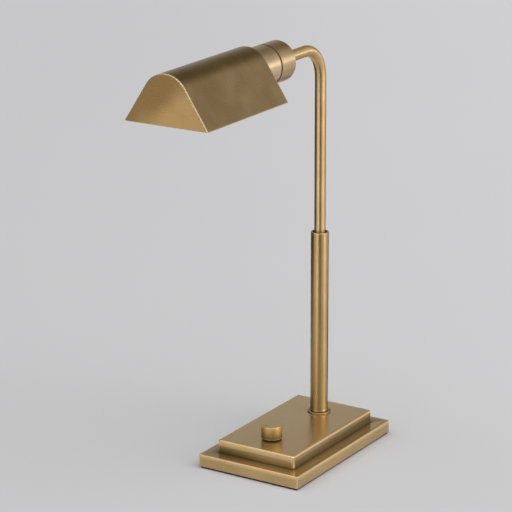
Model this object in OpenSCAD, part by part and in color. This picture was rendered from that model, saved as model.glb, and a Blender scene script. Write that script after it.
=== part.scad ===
// Adjustable desk lamp: stepped slab base with a dimmer knob, a telescopic post,
// a cranked arm that slides and turns in it, and a shade that turns about the arm.
// Millimetres. Origin under the middle of the base, +Z up, the shade points to -Y.

/* [Base] */
// Width of the lower base tier, side to side
plinth_w = 102; // [98:0.5:130]
// Length of the lower base tier, front to back
plinth_l = 161.5; // [156:0.5:200]
// Height of the lower base tier
plinth_h = 11.2; // [11:0.1:16]
// Set-back of the upper tier on each side
step_w = 11.7; // [8:0.1:14]
// Set-back of the upper tier at the front and the back
step_l = 12.7; // [10:0.1:16]
// Height of the upper base tier
tier_h = 11.8; // [11:0.1:16]
// Metal thickness of the upper tier's walls and top
tier_wall = 3; // [2.5:0.1:4]
// Rounding of the base tiers' edges
base_edge_r = 1.2; // [0.8:0.1:2.5]
// Thickness of the felt under the base
felt_t = 1.6; // [1:0.1:3]
// Felt set in from the lower tier's outline
felt_inset = 1.2; // [1:0.1:4]
// Room beside the dimmer's board in the pocket under the base
pocket_side = 5; // [3:0.5:6]
// Room past the dimmer's can at the ends of the pocket
pocket_end = 1.5; // [1:0.1:2]
// Thickness of the cover plate under the pocket
cover_t = 1.5; // [1:0.1:2]
// Radius of the bosses that take the tier screws
boss_r = 4.5; // [4:0.1:5]

/* [Fasteners] */
// Radius of the tier screws
tier_screw_r = 2; // [1.5:0.1:2.2]
// Radius of the cover screws
cover_screw_r = 1.5; // [1.2:0.1:1.8]
// Length of the cover screws
cover_screw_l = 6; // [5:0.5:7]
// Across flats of the tube nuts
nut_af = 14; // [13:0.5:16]
// Thickness of the tube nuts
nut_t = 4.5; // [3:0.5:5]
// Thickness of the metal washers
washer_t = 0.8; // [0.5:0.1:1.2]

/* [Cord inlet] */
// Radius of the cord hole in the grommet
inlet_r = 3; // [2.5:0.1:3.2]
// Wall of the grommet's sleeve
grommet_wall = 0.9; // [0.7:0.1:1]
// Length of the grommet inside the base wall
grommet_l = 12; // [6:0.5:20]
// Width of the grommet's outer flange
grommet_rim = 0.8; // [0.5:0.1:1]
// Thickness of the grommet's outer flange
grommet_flange_t = 1.5; // [1:0.1:2.5]

/* [Post] */
// Post axis behind the middle of the base
post_y = 40.5; // [38:0.5:44]
// Outer diameter of the post tube
post_d = 16; // [16:0.5:18]
// Wall of the post tube
post_wall = 1.5; // [1.2:0.1:1.6]
// Length of the post tube
post_l = 169.1; // [150:0.5:190]
// Outer diameter of the foot collar
collar_d = 21.2; // [20:0.1:26]
// Thickness of the foot collar
collar_t = 1.2; // [0.8:0.1:3]
// Length of the plug in the foot of the post
plug_l = 14; // [10:0.5:16]
// Length of the guide bush in the mouth of the post
bush_l = 22; // [16:0.5:26]
// Radius of the threaded stubs and tubes
thread_r = 5; // [4.8:0.1:5]

/* [Glide] */
// Length of the glide sleeve at the foot of the arm tube
glide_l = 16; // [14:0.5:20]
// Arm tube end above the foot plug, as photographed
tube_lift = 86.2; // [84:0.1:92]
// Section radius of the friction rings
ring_r = 0.42; // [0.3:0.02:0.45]
// Radius of the swivel stop pin
pin_r = 0.9; // [0.6:0.1:1]
// Swivel of the arm to either side
swivel_deg = 150; // [90:5:150]

/* [Arm] */
// Outer diameter of the arm tube
arm_d = 10; // [10:0.1:10.2]
// Wall of the arm tube
arm_wall = 1; // [0.8:0.1:1.2]
// Height of the arm's level part above the mouth of the post
arm_rise = 168; // [140:0.5:200]
// Bend radius on the tube's centre line
bend_r = 27.5; // [20:0.5:36]
// Post axis to the back of the rear cup
arm_reach = 69; // [60:0.5:90]

/* [Swivel cups] */
// Outer diameter of both cups
cup_d = 35.6; // [35:0.1:36.6]
// Wall of both cups
cup_wall = 1.5; // [1:0.1:1.6]
// Rounding of the rear cup's back edge
cup_edge_r = 1.6; // [1:0.1:2.4]
// Length of the rear cup
rear_cup_l = 22.5; // [21:0.5:28]
// Back wall of the rear cup
cup_back_t = 2.5; // [2:0.1:3]
// Open seam between the cups
seam_gap = 0.8; // [0.3:0.1:0.9]
// Length of the front cup up to the shade
front_cup_l = 26.1; // [25.5:0.1:32]
// Flange of the front cup that turns on the arm tube
flange_t = 2; // [1.6:0.1:2.4]
// Thickness of the fibre washers
fibre_t = 1; // [0.8:0.1:1.2]
// Thickness of the wave washer
wave_t = 1.2; // [0.8:0.1:1.6]
// Thickness of the stop plate
stop_t = 1.5; // [1:0.1:2]
// Radius of the stop pin's circle
stop_circle_r = 12; // [11:0.1:12.5]
// Radius of the stop pin
stop_pin_r = 1.5; // [1.2:0.1:1.8]
// Tilt of the shade to either side
tilt_deg = 90; // [45:5:90]
// Length of the front cup's spigot inside the shade
spigot_l = 5.6; // [5:0.1:7]
// Thickness of the shade's ring nut
ring_nut_t = 4; // [3:0.1:4.5]
// Rim of the ring nut outside the spigot
ring_nut_rim = 2.4; // [2:0.1:2.5]

/* [Shade] */
// Length of the shade
shade_l = 120; // [110:1:160]
// Width of the shade at its open edge
shade_w = 80; // [76:0.5:90]
// Swivel axis above the open edge
shade_below = 21.5; // [21:0.1:24]
// Top of the shade above the swivel axis
shade_above = 21.2; // [21:0.1:24]
// Outer radius of the shade's rounded top
shade_top_r = 22; // [21:0.1:24]
// Sheet thickness of the shade and its end plates
sheet_t = 1; // [0.8:0.1:1.2]

/* [Lampholder and bulb] */
// Radius of the lampholder cap and body
holder_r = 13.5; // [13:0.1:13.8]
// Length of the lampholder cap
holder_cap_l = 16; // [15:0.5:18]
// Length of the lampholder body
holder_body_l = 26; // [24:0.5:28]
// Wall of the lampholder cap
holder_wall = 2.5; // [2:0.1:3]
// Radius of the bulb's screw cap
bulb_cap_r = 6.9; // [6.9:0.05:7]
// Length of the bulb's screw cap
bulb_cap_l = 17; // [15:0.5:18]
// Radius of the bulb's glass
glass_r = 12.5; // [11:0.1:14]
// Length of the bulb's glass
glass_l = 62; // [50:1:80]
// Wall of the bulb's glass
glass_t = 0.8; // [0.6:0.1:1]

/* [Dimmer] */
// Knob axis in front of the middle of the base
knob_y = 40.5; // [38:0.5:42]
// Outer diameter of the knob
knob_d = 18.6; // [18:0.1:24]
// Height of the knob
knob_h = 11.8; // [11:0.1:20]
// Rounding of the knob's top edge
knob_edge_r = 2; // [1:0.1:3]
// Air under the knob
knob_gap = 1.4; // [0.8:0.1:2]
// Radius of the dimmer's shaft
shaft_r = 3; // [2.5:0.1:3.2]
// Side of the dimmer's can, across
can_w = 30; // [26:0.5:34]
// Side of the dimmer's can, front to back
can_l = 28; // [26:0.5:30]
// Height of the dimmer's can
can_h = 10; // [8:0.1:10.4]
// Thickness of the dimmer's board
board_t = 1.6; // [1:0.1:2]
// Turn of the knob from off to full
dim_deg = 300; // [240:10:300]

/* [Wiring] */
// Radius of the two-core lead
flex_r = 1.6; // [1.2:0.1:1.8]
// Radius of a single core
core_r = 0.75; // [0.5:0.05:0.8]
// Turns of the curly lead in the post
curl_turns = 8; // [5:1:9]
// Mean radius of the curly lead
curl_r = 4.2; // [3.6:0.1:4.4]
// Bend radius of the lead under the post
lead_bend_r = 5.5; // [4:0.5:6]
// Width of the terminal block
block_w = 24; // [20:0.5:28]
// Length of the terminal block
block_l = 16; // [14:0.5:20]
// Height of the terminal block
block_h = 10; // [8:0.1:10.5]

/* [Fits] */
// Radial clearance of the turning and sliding fits
run_fit = 0.05; // [0.03:0.01:0.1]
// Radial clearance of the fixed fits
seat_fit = 0.03; // [0.02:0.01:0.08]
// Radial clearance of screws and stubs in their holes
hole_fit = 0.1; // [0.05:0.01:0.15]

/* [Hidden] */
$fn = 72;
plinth_z = felt_t;
tier_z = plinth_z + plinth_h;
deck_z = tier_z + tier_h;
under_deck_z = deck_z - tier_wall;
tier_w = plinth_w - 2 * step_w;
tier_l = plinth_l - 2 * step_l;
board_lip = 3;
pocket_w = can_w + 2 * board_lip + 2 * pocket_side;
pocket_l = 2 * (knob_y + can_l / 2 + pocket_end);
// The tier screws stand beside the pocket, and the cover plate hides their heads.
head_r = 2 * tier_screw_r;
boss_x = pocket_w / 2 + head_r + 1.2;
boss_y = pocket_l / 2 + 3;
cover_w = 2 * (boss_x + head_r + 0.8);
cover_l = 2 * (boss_y + head_r + 0.8);
cover_z = plinth_z + cover_t;
cover_screw_y = pocket_l / 4;
screw_bite = 6;
tier_screw_l = plinth_h - cover_t + screw_bite;
grommet_r = inlet_r + grommet_wall;
inlet_z = cover_z + 0.25 + grommet_r + seat_fit;
back_y = plinth_l / 2;

post_z = deck_z + collar_t;
post_top = post_z + post_l;
bore_r = post_d / 2 - post_wall;
plug_top = post_z + plug_l;
stub_l = tier_wall + collar_t + 2 * washer_t + nut_t + 0.6;
flex_hole_r = flex_r + 0.5;

tube_end = plug_top + tube_lift;
arm_r = arm_d / 2;
arm_bore_r = arm_r - arm_wall;
arm_z = post_top + arm_rise;
glide_r = bore_r - run_fit;
pin_up = 4;
pin_out = glide_r - 0.5;
pin_half_deg = asin(pin_r / arm_r);
groove_r = glide_r - 2 * ring_r;
ring_up = [glide_l - 6.5, glide_l - 2.5];

// Stations along the level arm, forward of the post axis.
cup_s = arm_reach;
cup_r = cup_d / 2;
cup_bore_r = cup_r - cup_wall;
seam_s = cup_s + rear_cup_l;
flange_s = seam_s + seam_gap;
shade_s = flange_s + front_cup_l;
shade_end_s = shade_s + shade_l;
stop_s = flange_s - fibre_t - stop_t;
back_nut_s = stop_s - nut_t;
wave_s = flange_s + flange_t + fibre_t;
front_nut_s = wave_s + wave_t;
holder_s = front_nut_s + nut_t + 0.3;
body_s = holder_s + holder_cap_l;
arm_end_s = holder_s + 8;
rim_s = body_s + holder_body_l;
spigot_r = cup_r - 1.3;
spigot_bore_r = spigot_r - cup_wall;
ring_nut_r = spigot_r + ring_nut_rim;
stop_half_deg = asin(stop_pin_r / stop_circle_r);
shell_r = bulb_cap_r + 1.1;
shell_l = bulb_cap_l + 2;
glass_s = rim_s - 1;
flex_end_s = arm_end_s + 2;

// Slope of the shade's flat sides, tangent to its rounded top.
arc_up = shade_above - shade_top_r;
corner_run = shade_w / 2;
corner_drop = shade_below + arc_up;
corner_reach = norm([corner_run, corner_drop]);
side_deg = atan2(corner_drop, corner_run) + asin(shade_top_r / corner_reach);

knob_r = knob_d / 2;
knob_z = deck_z + knob_gap;
dim_nut_t = 2.5;
dim_nut_af = 12;
dim_stub_top = deck_z + washer_t + dim_nut_t + 0.5;
knob_recess_top = dim_stub_top + 0.8;
shaft_top = knob_z + knob_h - 3.5;
screw_up = (knob_recess_top + shaft_top) / 2 - knob_z;
board_z = under_deck_z - can_h - board_t;
pointer_deg = 240;

curl_from = plug_top;
curl_to = tube_end;
block_y = 10;
lead_z = cover_z + block_h / 2;

// Shared shapes

// Places children on the level arm's axis: local z runs forward from the post axis.
module on_arm(s = 0) {
    translate([0, post_y, arm_z]) rotate([90, 0, 0]) translate([0, 0, s]) children();
}

module tube(r_out, r_in, h) {
    difference() {
        cylinder(r = r_out, h = h);
        translate([0, 0, -1]) cylinder(r = r_in, h = h + 2);
    }
}

module hex(af, r_in, h) {
    difference() {
        cylinder(r = af / sqrt(3), h = h, $fn = 6);
        translate([0, 0, -1]) cylinder(r = r_in, h = h + 2);
    }
}

// A rectangle with rounded corners; square feet leave out the lower two.
module soft_rect(w, l, r, square_feet = false) {
    square([w - 2 * r, l], center = true);
    square([w, l - 2 * r], center = true);
    for (x = [-1, 1], y = [-1, 1]) translate([x * (w / 2 - r), y * (l / 2 - r)]) {
        circle(r = r);
        if (square_feet && y < 0) translate([x > 0 ? 0 : -r, -r]) square(r);
    }
}

// A slab with rounded upright edges and rounded top edges: three outlines crossed.
module soft_slab(w, l, h, r) {
    translate([0, 0, h / 2]) intersection() {
        linear_extrude(height = h, center = true) soft_rect(w, l, r);
        rotate([90, 0, 0]) linear_extrude(height = l, center = true) soft_rect(w, h, r, true);
        rotate([90, 0, 90]) linear_extrude(height = w, center = true) soft_rect(l, h, r, true);
    }
}

module four(x, y) {
    for (sx = [-1, 1], sy = [-1, 1]) translate([sx * x, sy * y, 0]) children();
}

// A countersunk screw that points up, its head flush with z = 0.
module flat_screw(r, l) {
    difference() {
        union() {
            cylinder(r1 = 2 * r, r2 = r, h = r);
            translate([0, 0, r]) cylinder(r = r, h = l - r);
        }
        translate([-0.3 * r, -2 * r, -1]) cube([0.6 * r, 4 * r, 1 + 0.4 * r]);
    }
}

module flat_screw_hole(r, l) {
    translate([0, 0, -0.01]) cylinder(r1 = 2 * r + hole_fit, r2 = r + hole_fit, h = r);
    translate([0, 0, r - 0.02]) cylinder(r = r + hole_fit, h = l - r + 0.4);
}

// Outline between the shade's sides, moved in by a distance, open edge at z = -shade_below.
module shade_outline(inset, below) {
    r = shade_top_r - inset;
    tx = r * sin(side_deg);
    ty = r * cos(side_deg);
    foot = -shade_below - below;
    run = (arc_up + ty - foot) / tan(side_deg);
    intersection() {
        union() {
            translate([0, arc_up]) circle(r = r);
            polygon([[-tx, arc_up + ty], [-tx - run, foot], [tx + run, foot], [tx, arc_up + ty]]);
        }
        translate([-shade_w, foot]) square([2 * shade_w, 4 * shade_top_r]);
    }
}

// Base

module felt_pad() {
    color("#1d1c1b")
        linear_extrude(height = felt_t)
            square([plinth_w - 2 * felt_inset, plinth_l - 2 * felt_inset], center = true);
}

module bottom_cover() {
    color("#8d8f91") difference() {
        translate([-cover_w / 2 + hole_fit, -cover_l / 2 + hole_fit, plinth_z])
            cube([cover_w - 2 * hole_fit, cover_l - 2 * hole_fit, cover_t]);
        translate([0, 0, plinth_z]) cover_screw_holes();
    }
}

module cover_screw_holes() {
    four(boss_x, cover_screw_y) flat_screw_hole(cover_screw_r, cover_screw_l);
}

module cover_screws() {
    color("#b9babb") translate([0, 0, plinth_z])
        four(boss_x, cover_screw_y) flat_screw(cover_screw_r, cover_screw_l);
}

module plinth() {
    color("#b9935a") difference() {
        translate([0, 0, plinth_z]) soft_slab(plinth_w, plinth_l, plinth_h, base_edge_r);
        translate([-pocket_w / 2, -pocket_l / 2, plinth_z - 1]) cube([pocket_w, pocket_l, plinth_h + 2]);
        translate([-cover_w / 2, -cover_l / 2, plinth_z - 1]) cube([cover_w, cover_l, cover_t + 1]);
        translate([0, 0, plinth_z]) cover_screw_holes();
        translate([0, 0, cover_z]) four(boss_x, boss_y) flat_screw_hole(tier_screw_r, tier_screw_l);
        translate([0, back_y + 1, inlet_z]) rotate([90, 0, 0])
            cylinder(r = grommet_r + seat_fit, h = back_y + 1 - pocket_l / 2 + 1);
    }
}

module tier_screws() {
    color("#b9babb") translate([0, 0, cover_z])
        four(boss_x, boss_y) flat_screw(tier_screw_r, tier_screw_l);
}

module upper_tier() {
    inner_w = tier_w - 2 * tier_wall;
    inner_l = tier_l - 2 * tier_wall;
    color("#b08a52") difference() {
        union() {
            difference() {
                translate([0, 0, tier_z]) soft_slab(tier_w, tier_l, tier_h, base_edge_r);
                translate([-inner_w / 2, -inner_l / 2, tier_z - 1])
                    cube([inner_w, inner_l, tier_h - tier_wall + 1]);
            }
            translate([0, 0, tier_z]) four(boss_x, boss_y)
                cylinder(r = boss_r, h = tier_h - tier_wall + 1);
        }
        translate([0, 0, cover_z]) four(boss_x, boss_y) flat_screw_hole(tier_screw_r, tier_screw_l);
        translate([0, post_y, tier_z]) cylinder(r = thread_r + hole_fit, h = tier_h + 1);
        translate([0, -knob_y, tier_z]) cylinder(r = thread_r + hole_fit, h = tier_h + 1);
    }
}

module inlet_grommet() {
    color("#171717") translate([0, back_y + grommet_flange_t, inlet_z]) rotate([90, 0, 0]) difference() {
        union() {
            cylinder(r = grommet_r + grommet_rim, h = grommet_flange_t);
            cylinder(r = grommet_r, h = grommet_flange_t + grommet_l);
        }
        translate([0, 0, -1]) cylinder(r = inlet_r, h = grommet_flange_t + grommet_l + 2);
    }
}

module terminal_spots() {
    for (x = [-1, 0, 1], y = [-1, 1])
        translate([x * block_w / 3.4, block_y + y * block_l / 4, cover_z + block_h]) children();
}

module terminal_block() {
    color("#e4e1d8") difference() {
        translate([-block_w / 2, block_y - block_l / 2, cover_z]) cube([block_w, block_l, block_h]);
        terminal_spots() translate([0, 0, -3]) cylinder(r = 1.8, h = 4);
    }
}

module terminal_screws() {
    color("#c9b072") terminal_spots() translate([0, 0, -3]) difference() {
        cylinder(r = 1.6, h = 2);
        translate([-0.3, -2, 1.4]) cube([0.6, 4, 1]);
    }
}

// Dimmer

module on_knob(z = 0) {
    translate([0, -knob_y, z]) children();
}

module dimmer_body() {
    color("#3a3d40") difference() {
        union() {
            on_knob(under_deck_z - can_h) translate([-can_w / 2, -can_l / 2, 0]) cube([can_w, can_l, can_h]);
            on_knob(under_deck_z) cylinder(r = thread_r, h = dim_stub_top - under_deck_z);
        }
        on_knob(under_deck_z - can_h + 2) cylinder(r = shaft_r + run_fit, h = 3 * can_h);
    }
}

module dimmer_board() {
    color("#2f5a3c") union() {
        on_knob(board_z) translate([-can_w / 2 - board_lip, -can_l / 2, 0])
            cube([can_w + 2 * board_lip, can_l + board_lip, board_t]);
        on_knob(board_z - 2.4) {
            translate([-8, 4, 0]) cube([6, 4, 2.4]);
            translate([6, 2, 0]) cylinder(r = 3, h = 2.4);
            translate([-6, -7, 0]) cube([10, 5, 2.4]);
        }
    }
}

module dimmer_washer() {
    color("#c7c8c9") on_knob(deck_z) tube(6.7, thread_r + hole_fit, washer_t);
}

module dimmer_nut() {
    color("#c7c8c9") on_knob(deck_z + washer_t) hex(dim_nut_af, thread_r + seat_fit, dim_nut_t);
}

module dimmer_leads() {
    front = block_y - block_l / 2;
    board_back = -knob_y + can_l / 2 + board_lip;
    color("#7a2f22") for (x = [-5, 5])
        translate([x, front, board_z + board_t / 2]) rotate([90, 0, 0]) cylinder(r = core_r, h = front - board_back);
}

module dimmer_shaft() {
    foot = under_deck_z - can_h + 2.3;
    color("#d2d3d4") on_knob(foot) cylinder(r = shaft_r, h = shaft_top - foot);
}

module knob() {
    color("#c49a58") on_knob(knob_z) difference() {
        rotate_extrude() difference() {
            union() {
                square([knob_r - knob_edge_r, knob_h]);
                square([knob_r, knob_h - knob_edge_r]);
                translate([knob_r - knob_edge_r, knob_h - knob_edge_r]) circle(r = knob_edge_r);
            }
            translate([-1, -1]) square([dim_nut_af / sqrt(3) + 0.5 + 1, knob_recess_top - knob_z + 1]);
            translate([-1, -1]) square([shaft_r + seat_fit + 1, shaft_top - knob_z + 0.3 + 1]);
        }
        rotate([0, 0, pointer_deg]) translate([knob_r * 0.45, -0.45, knob_h - 0.7])
            cube([knob_r, 0.9, 2]);
        translate([0, 0, screw_up]) rotate([-90, 0, 0]) cylinder(r = 1.5 + seat_fit, h = knob_r + 1);
    }
}

module knob_screw() {
    color("#55585a") on_knob(knob_z + screw_up) rotate([-90, 0, 0]) difference() {
        translate([0, 0, shaft_r + seat_fit]) cylinder(r = 1.5, h = knob_r - shaft_r - 0.8);
        translate([0, 0, knob_r - 2.3]) cylinder(r = 0.85, h = 3, $fn = 6);
    }
}

// Post

module on_post(z = 0) {
    translate([0, post_y, z]) children();
}

module post_collar() {
    color("#a9814a") on_post(deck_z) difference() {
        rotate_extrude() union() {
            square([collar_d / 2 - collar_t / 2, collar_t]);
            square([collar_d / 2, collar_t / 2]);
            translate([collar_d / 2 - collar_t / 2, collar_t / 2]) circle(r = collar_t / 2);
        }
        translate([0, 0, -1]) cylinder(r = thread_r + hole_fit, h = collar_t + 2);
    }
}

module post_plug() {
    color("#c2a05e") on_post() difference() {
        union() {
            translate([0, 0, post_z]) cylinder(r = bore_r - seat_fit, h = plug_l);
            translate([0, 0, post_z - stub_l]) cylinder(r = thread_r, h = stub_l + 1);
        }
        translate([0, 0, post_z - stub_l - 1]) cylinder(r = flex_hole_r, h = stub_l + plug_l + 2);
    }
}

module post_washer() {
    color("#c7c8c9") on_post(under_deck_z - washer_t) tube(9, thread_r + hole_fit, washer_t);
}

module post_nut() {
    color("#c7c8c9") on_post(under_deck_z - washer_t - nut_t) hex(nut_af, thread_r + seat_fit, nut_t);
}

module post_tube() {
    color("#b58d52") on_post(post_z) tube(post_d / 2, bore_r, post_l);
}

module guide_bush() {
    color("#a88149") on_post(post_top - bush_l) difference() {
        cylinder(r = bore_r - seat_fit, h = bush_l);
        translate([0, 0, -1]) cylinder(r = arm_r + run_fit, h = bush_l + 2);
        translate([0, 0, bush_l - 1.2]) cylinder(r = arm_r + 0.5, h = 2);
    }
}

// Wiring

module lamp_lead() {
    drop = lead_z + lead_bend_r;
    block_back = block_y + block_l / 2;
    color("#2b2b2b") union() {
        on_post(drop) cylinder(r = flex_r, h = plug_top - drop);
        translate([0, post_y - lead_bend_r, drop]) rotate([0, 90, 0])
            rotate_extrude(angle = 90) translate([lead_bend_r, 0]) circle(r = flex_r);
        translate([0, post_y - lead_bend_r, lead_z]) rotate([90, 0, 0])
            cylinder(r = flex_r, h = post_y - lead_bend_r - block_back);
    }
}

// The curly lead runs straight at both ends and winds between them.
curl_sides = 10;
curl_straight = 2 * flex_r;
curl_per_turn = 16;
curl_steps = curl_turns * curl_per_turn;
curl_span = curl_to - curl_from - 2 * curl_straight;
function ease(t) = t <= 0 ? 0 : t >= 1 ? 1 : t * t * (3 - 2 * t);
function curl_point(i) =
    let (t = i / curl_steps, a = 360 * curl_turns * t)
    let (r = curl_r * ease(t * curl_turns) * ease((1 - t) * curl_turns))
    [r * cos(a), r * sin(a), curl_from + curl_straight + curl_span * t];
curl_path = concat(
    [[0, 0, curl_from]],
    [for (i = [0 : curl_steps]) curl_point(i)],
    [[0, 0, curl_to]]);
curl_last = len(curl_path) - 1;
function unit(v) = v / norm(v);
function heading(i) = i == 0 || i == curl_last ? [0, 0, 1] : unit(curl_path[i + 1] - curl_path[i - 1]);
function across(i) = unit(cross(heading(i), [0, 1, 0]) + 1e-9 * [1, 0, 0]);
function curl_ring(i) =
    let (x = across(i), y = cross(heading(i), x))
    [for (k = [0 : curl_sides - 1])
        let (a = 360 * k / curl_sides) curl_path[i] + flex_r * (cos(a) * x + sin(a) * y)];
curl_points = [for (i = [0 : curl_last]) each curl_ring(i)];
curl_faces = concat(
    [[for (k = [0 : curl_sides - 1]) k]],
    [for (i = [0 : curl_last - 1], k = [0 : curl_sides - 1])
        let (a = i * curl_sides, b = a + curl_sides, n = (k + 1) % curl_sides) [a + k, b + k, b + n, a + n]],
    [[for (k = [curl_sides - 1 : -1 : 0]) curl_last * curl_sides + k]]);
echo(curl_gap = curl_span / curl_turns - 2 * flex_r);

module curly_lead() {
    color("#2b2b2b") on_post() polyhedron(points = curl_points, faces = curl_faces);
}

module arm_lead() {
    color("#2b2b2b") union() {
        on_post(tube_end) cylinder(r = flex_r, h = arm_z - bend_r - tube_end);
        on_arm() bend_turn() circle(r = flex_r);
        on_arm(bend_r) cylinder(r = flex_r, h = flex_end_s - bend_r);
        for (x = [-1, 1]) on_arm(flex_end_s - 0.1) translate([x * (core_r + 0.06), 0, 0])
            cylinder(r = core_r, h = body_s - flex_end_s + 0.1);
    }
}

// Sweeps a section round the arm's bend, in the arm's own local frame.
module bend_turn() {
    translate([0, -bend_r, bend_r]) rotate([0, 90, 0])
        rotate_extrude(angle = 90) translate([bend_r, 0]) children();
}

// Glide and arm

module glide_sleeve() {
    slot_deg = swivel_deg + pin_half_deg + 1;
    color("#e9e6dc") on_post(tube_end) difference() {
        tube(glide_r, arm_r + run_fit, glide_l);
        for (z = ring_up) translate([0, 0, z - ring_r - 0.06])
            tube(glide_r + 1, groove_r - seat_fit, 2 * ring_r + 0.12);
        rotate([0, 0, 90 - slot_deg]) rotate_extrude(angle = 2 * slot_deg)
            translate([arm_r - 0.5, pin_up - pin_r - run_fit]) square([4, 2 * (pin_r + run_fit)]);
    }
}

module friction_rings() {
    color("#141414") on_post(tube_end) for (z = ring_up) translate([0, 0, z])
        rotate_extrude() translate([groove_r + ring_r, 0]) circle(r = ring_r);
}

module swivel_pin() {
    color("#c7c8c9") on_post(tube_end + pin_up) rotate([-90, 0, 0])
        translate([0, 0, arm_bore_r]) cylinder(r = pin_r, h = pin_out - arm_bore_r);
}

module arm_solid(r) {
    on_post(tube_end) cylinder(r = r, h = arm_z - bend_r - tube_end);
    on_arm() bend_turn() circle(r = r);
    on_arm(bend_r) cylinder(r = r, h = arm_end_s - bend_r);
}

module arm_tube() {
    color("#b58d52") difference() {
        arm_solid(arm_r);
        union() {
            arm_solid(arm_bore_r);
            on_post(tube_end - 1) cylinder(r = arm_bore_r, h = 2);
            on_arm(arm_end_s - 1) cylinder(r = arm_bore_r, h = 2);
        }
        on_post(tube_end + pin_up) rotate([-90, 0, 0]) cylinder(r = pin_r + seat_fit, h = arm_d);
    }
}

// Swivel

module rear_cup() {
    color("#b89055") on_arm(cup_s) difference() {
        rotate_extrude() difference() {
            union() {
                translate([0, cup_edge_r]) square([cup_r, rear_cup_l - cup_edge_r]);
                square([cup_r - cup_edge_r, rear_cup_l]);
                translate([cup_r - cup_edge_r, cup_edge_r]) circle(r = cup_edge_r);
            }
            translate([-1, cup_back_t]) square([cup_bore_r + 1, rear_cup_l]);
        }
        translate([0, 0, -1]) cylinder(r = arm_r + seat_fit, h = cup_back_t + 2);
    }
}

module cup_washer() {
    color("#c7c8c9") on_arm(cup_s + cup_back_t) tube(9, arm_r + seat_fit, washer_t);
}

module tube_nuts() {
    color("#c7a868") {
        on_arm(cup_s + cup_back_t + washer_t) hex(nut_af, arm_r + seat_fit, nut_t);
        on_arm(back_nut_s) hex(nut_af, arm_r + seat_fit, nut_t);
        on_arm(front_nut_s) hex(nut_af, arm_r + seat_fit, nut_t);
    }
}

module stop_plate() {
    color("#9a9c9e") on_arm(stop_s) union() {
        tube(cup_bore_r - 0.4, arm_r + seat_fit, stop_t);
        translate([0, stop_circle_r, stop_t / 2])
            cylinder(r = stop_pin_r, h = stop_t / 2 + fibre_t + flange_t - 0.2);
    }
}

module fibre_washers() {
    color("#6b3f2a") {
        on_arm(flange_s - fibre_t) tube(9.5, arm_r + seat_fit, fibre_t);
        on_arm(flange_s + flange_t) tube(9.5, arm_r + seat_fit, fibre_t);
    }
}

module wave_washer() {
    color("#c7c8c9") on_arm(wave_s) tube(9, arm_r + seat_fit, wave_t);
}

module front_cup() {
    slot_deg = tilt_deg + stop_half_deg + 1;
    color("#b89055") on_arm(flange_s) difference() {
        rotate_extrude() difference() {
            union() {
                square([cup_r, front_cup_l]);
                square([spigot_r, front_cup_l + sheet_t + spigot_l]);
            }
            translate([cup_r, 0]) rotate(45) square(0.5, center = true);
            translate([-1, -1]) square([arm_r + run_fit + 1, flange_t + 2]);
            translate([-1, flange_t]) square([spigot_bore_r + 1, front_cup_l + sheet_t + spigot_l]);
            translate([-1, flange_t]) square([cup_bore_r + 1, front_cup_l - flange_t - cup_wall]);
        }
        rotate([0, 0, 90 - slot_deg]) rotate_extrude(angle = 2 * slot_deg)
            translate([stop_circle_r - stop_pin_r - 0.15, -1]) square([2 * stop_pin_r + 0.3, flange_t + 2]);
    }
}

// Shade

module shade_wrap() {
    color("#b18a50") on_arm(shade_s) linear_extrude(height = shade_l) difference() {
        shade_outline(0, 0);
        shade_outline(sheet_t, 2);
    }
}

module shade_plate() {
    linear_extrude(height = sheet_t) intersection() {
        shade_outline(sheet_t + seat_fit, 2);
        translate([-shade_w, -shade_below]) square([2 * shade_w, 4 * shade_top_r]);
    }
}

module shade_front_plate() {
    color("#b68f55") on_arm(shade_end_s - sheet_t) shade_plate();
}

module shade_rear_plate() {
    color("#b68f55") on_arm(shade_s) difference() {
        shade_plate();
        translate([0, 0, -1]) cylinder(r = spigot_r + seat_fit, h = sheet_t + 2);
    }
}

module shade_ring_nut() {
    color("#b89055") on_arm(shade_s + sheet_t) difference() {
        cylinder(r = ring_nut_r, h = ring_nut_t);
        translate([0, 0, -1]) cylinder(r = spigot_r + seat_fit, h = ring_nut_t + 2);
        for (a = [45 : 90 : 315]) rotate([0, 0, a])
            translate([ring_nut_r - 1, -1.2, 1]) cube([3, 2.4, ring_nut_t]);
    }
}

// Lampholder and bulb

module holder_cap() {
    color("#efece3") on_arm(holder_s) difference() {
        cylinder(r = holder_r, h = holder_cap_l);
        translate([0, 0, -1]) cylinder(r = arm_r + seat_fit, h = holder_cap_l + 2);
        translate([0, 0, arm_end_s - holder_s]) cylinder(r = holder_r - holder_wall, h = holder_cap_l);
    }
}

module holder_body() {
    color("#efece3") on_arm(body_s) difference() {
        cylinder(r = holder_r, h = holder_body_l);
        translate([0, 0, holder_body_l - shell_l]) cylinder(r = shell_r + seat_fit, h = shell_l + 1);
    }
}

module holder_shell() {
    color("#c9a75e") on_arm(rim_s - shell_l) tube(shell_r, bulb_cap_r + 0.2, shell_l - 2);
}

module holder_contact() {
    color("#c9a75e") on_arm(rim_s - shell_l) cylinder(r = 2.5, h = 1.4);
}

module bulb_cap() {
    color("#cfcfcb") on_arm(rim_s - bulb_cap_l) union() {
        cylinder(r = bulb_cap_r, h = bulb_cap_l - 1);
        translate([0, 0, -0.6]) cylinder(r = 2.4, h = 1);
    }
}

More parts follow.
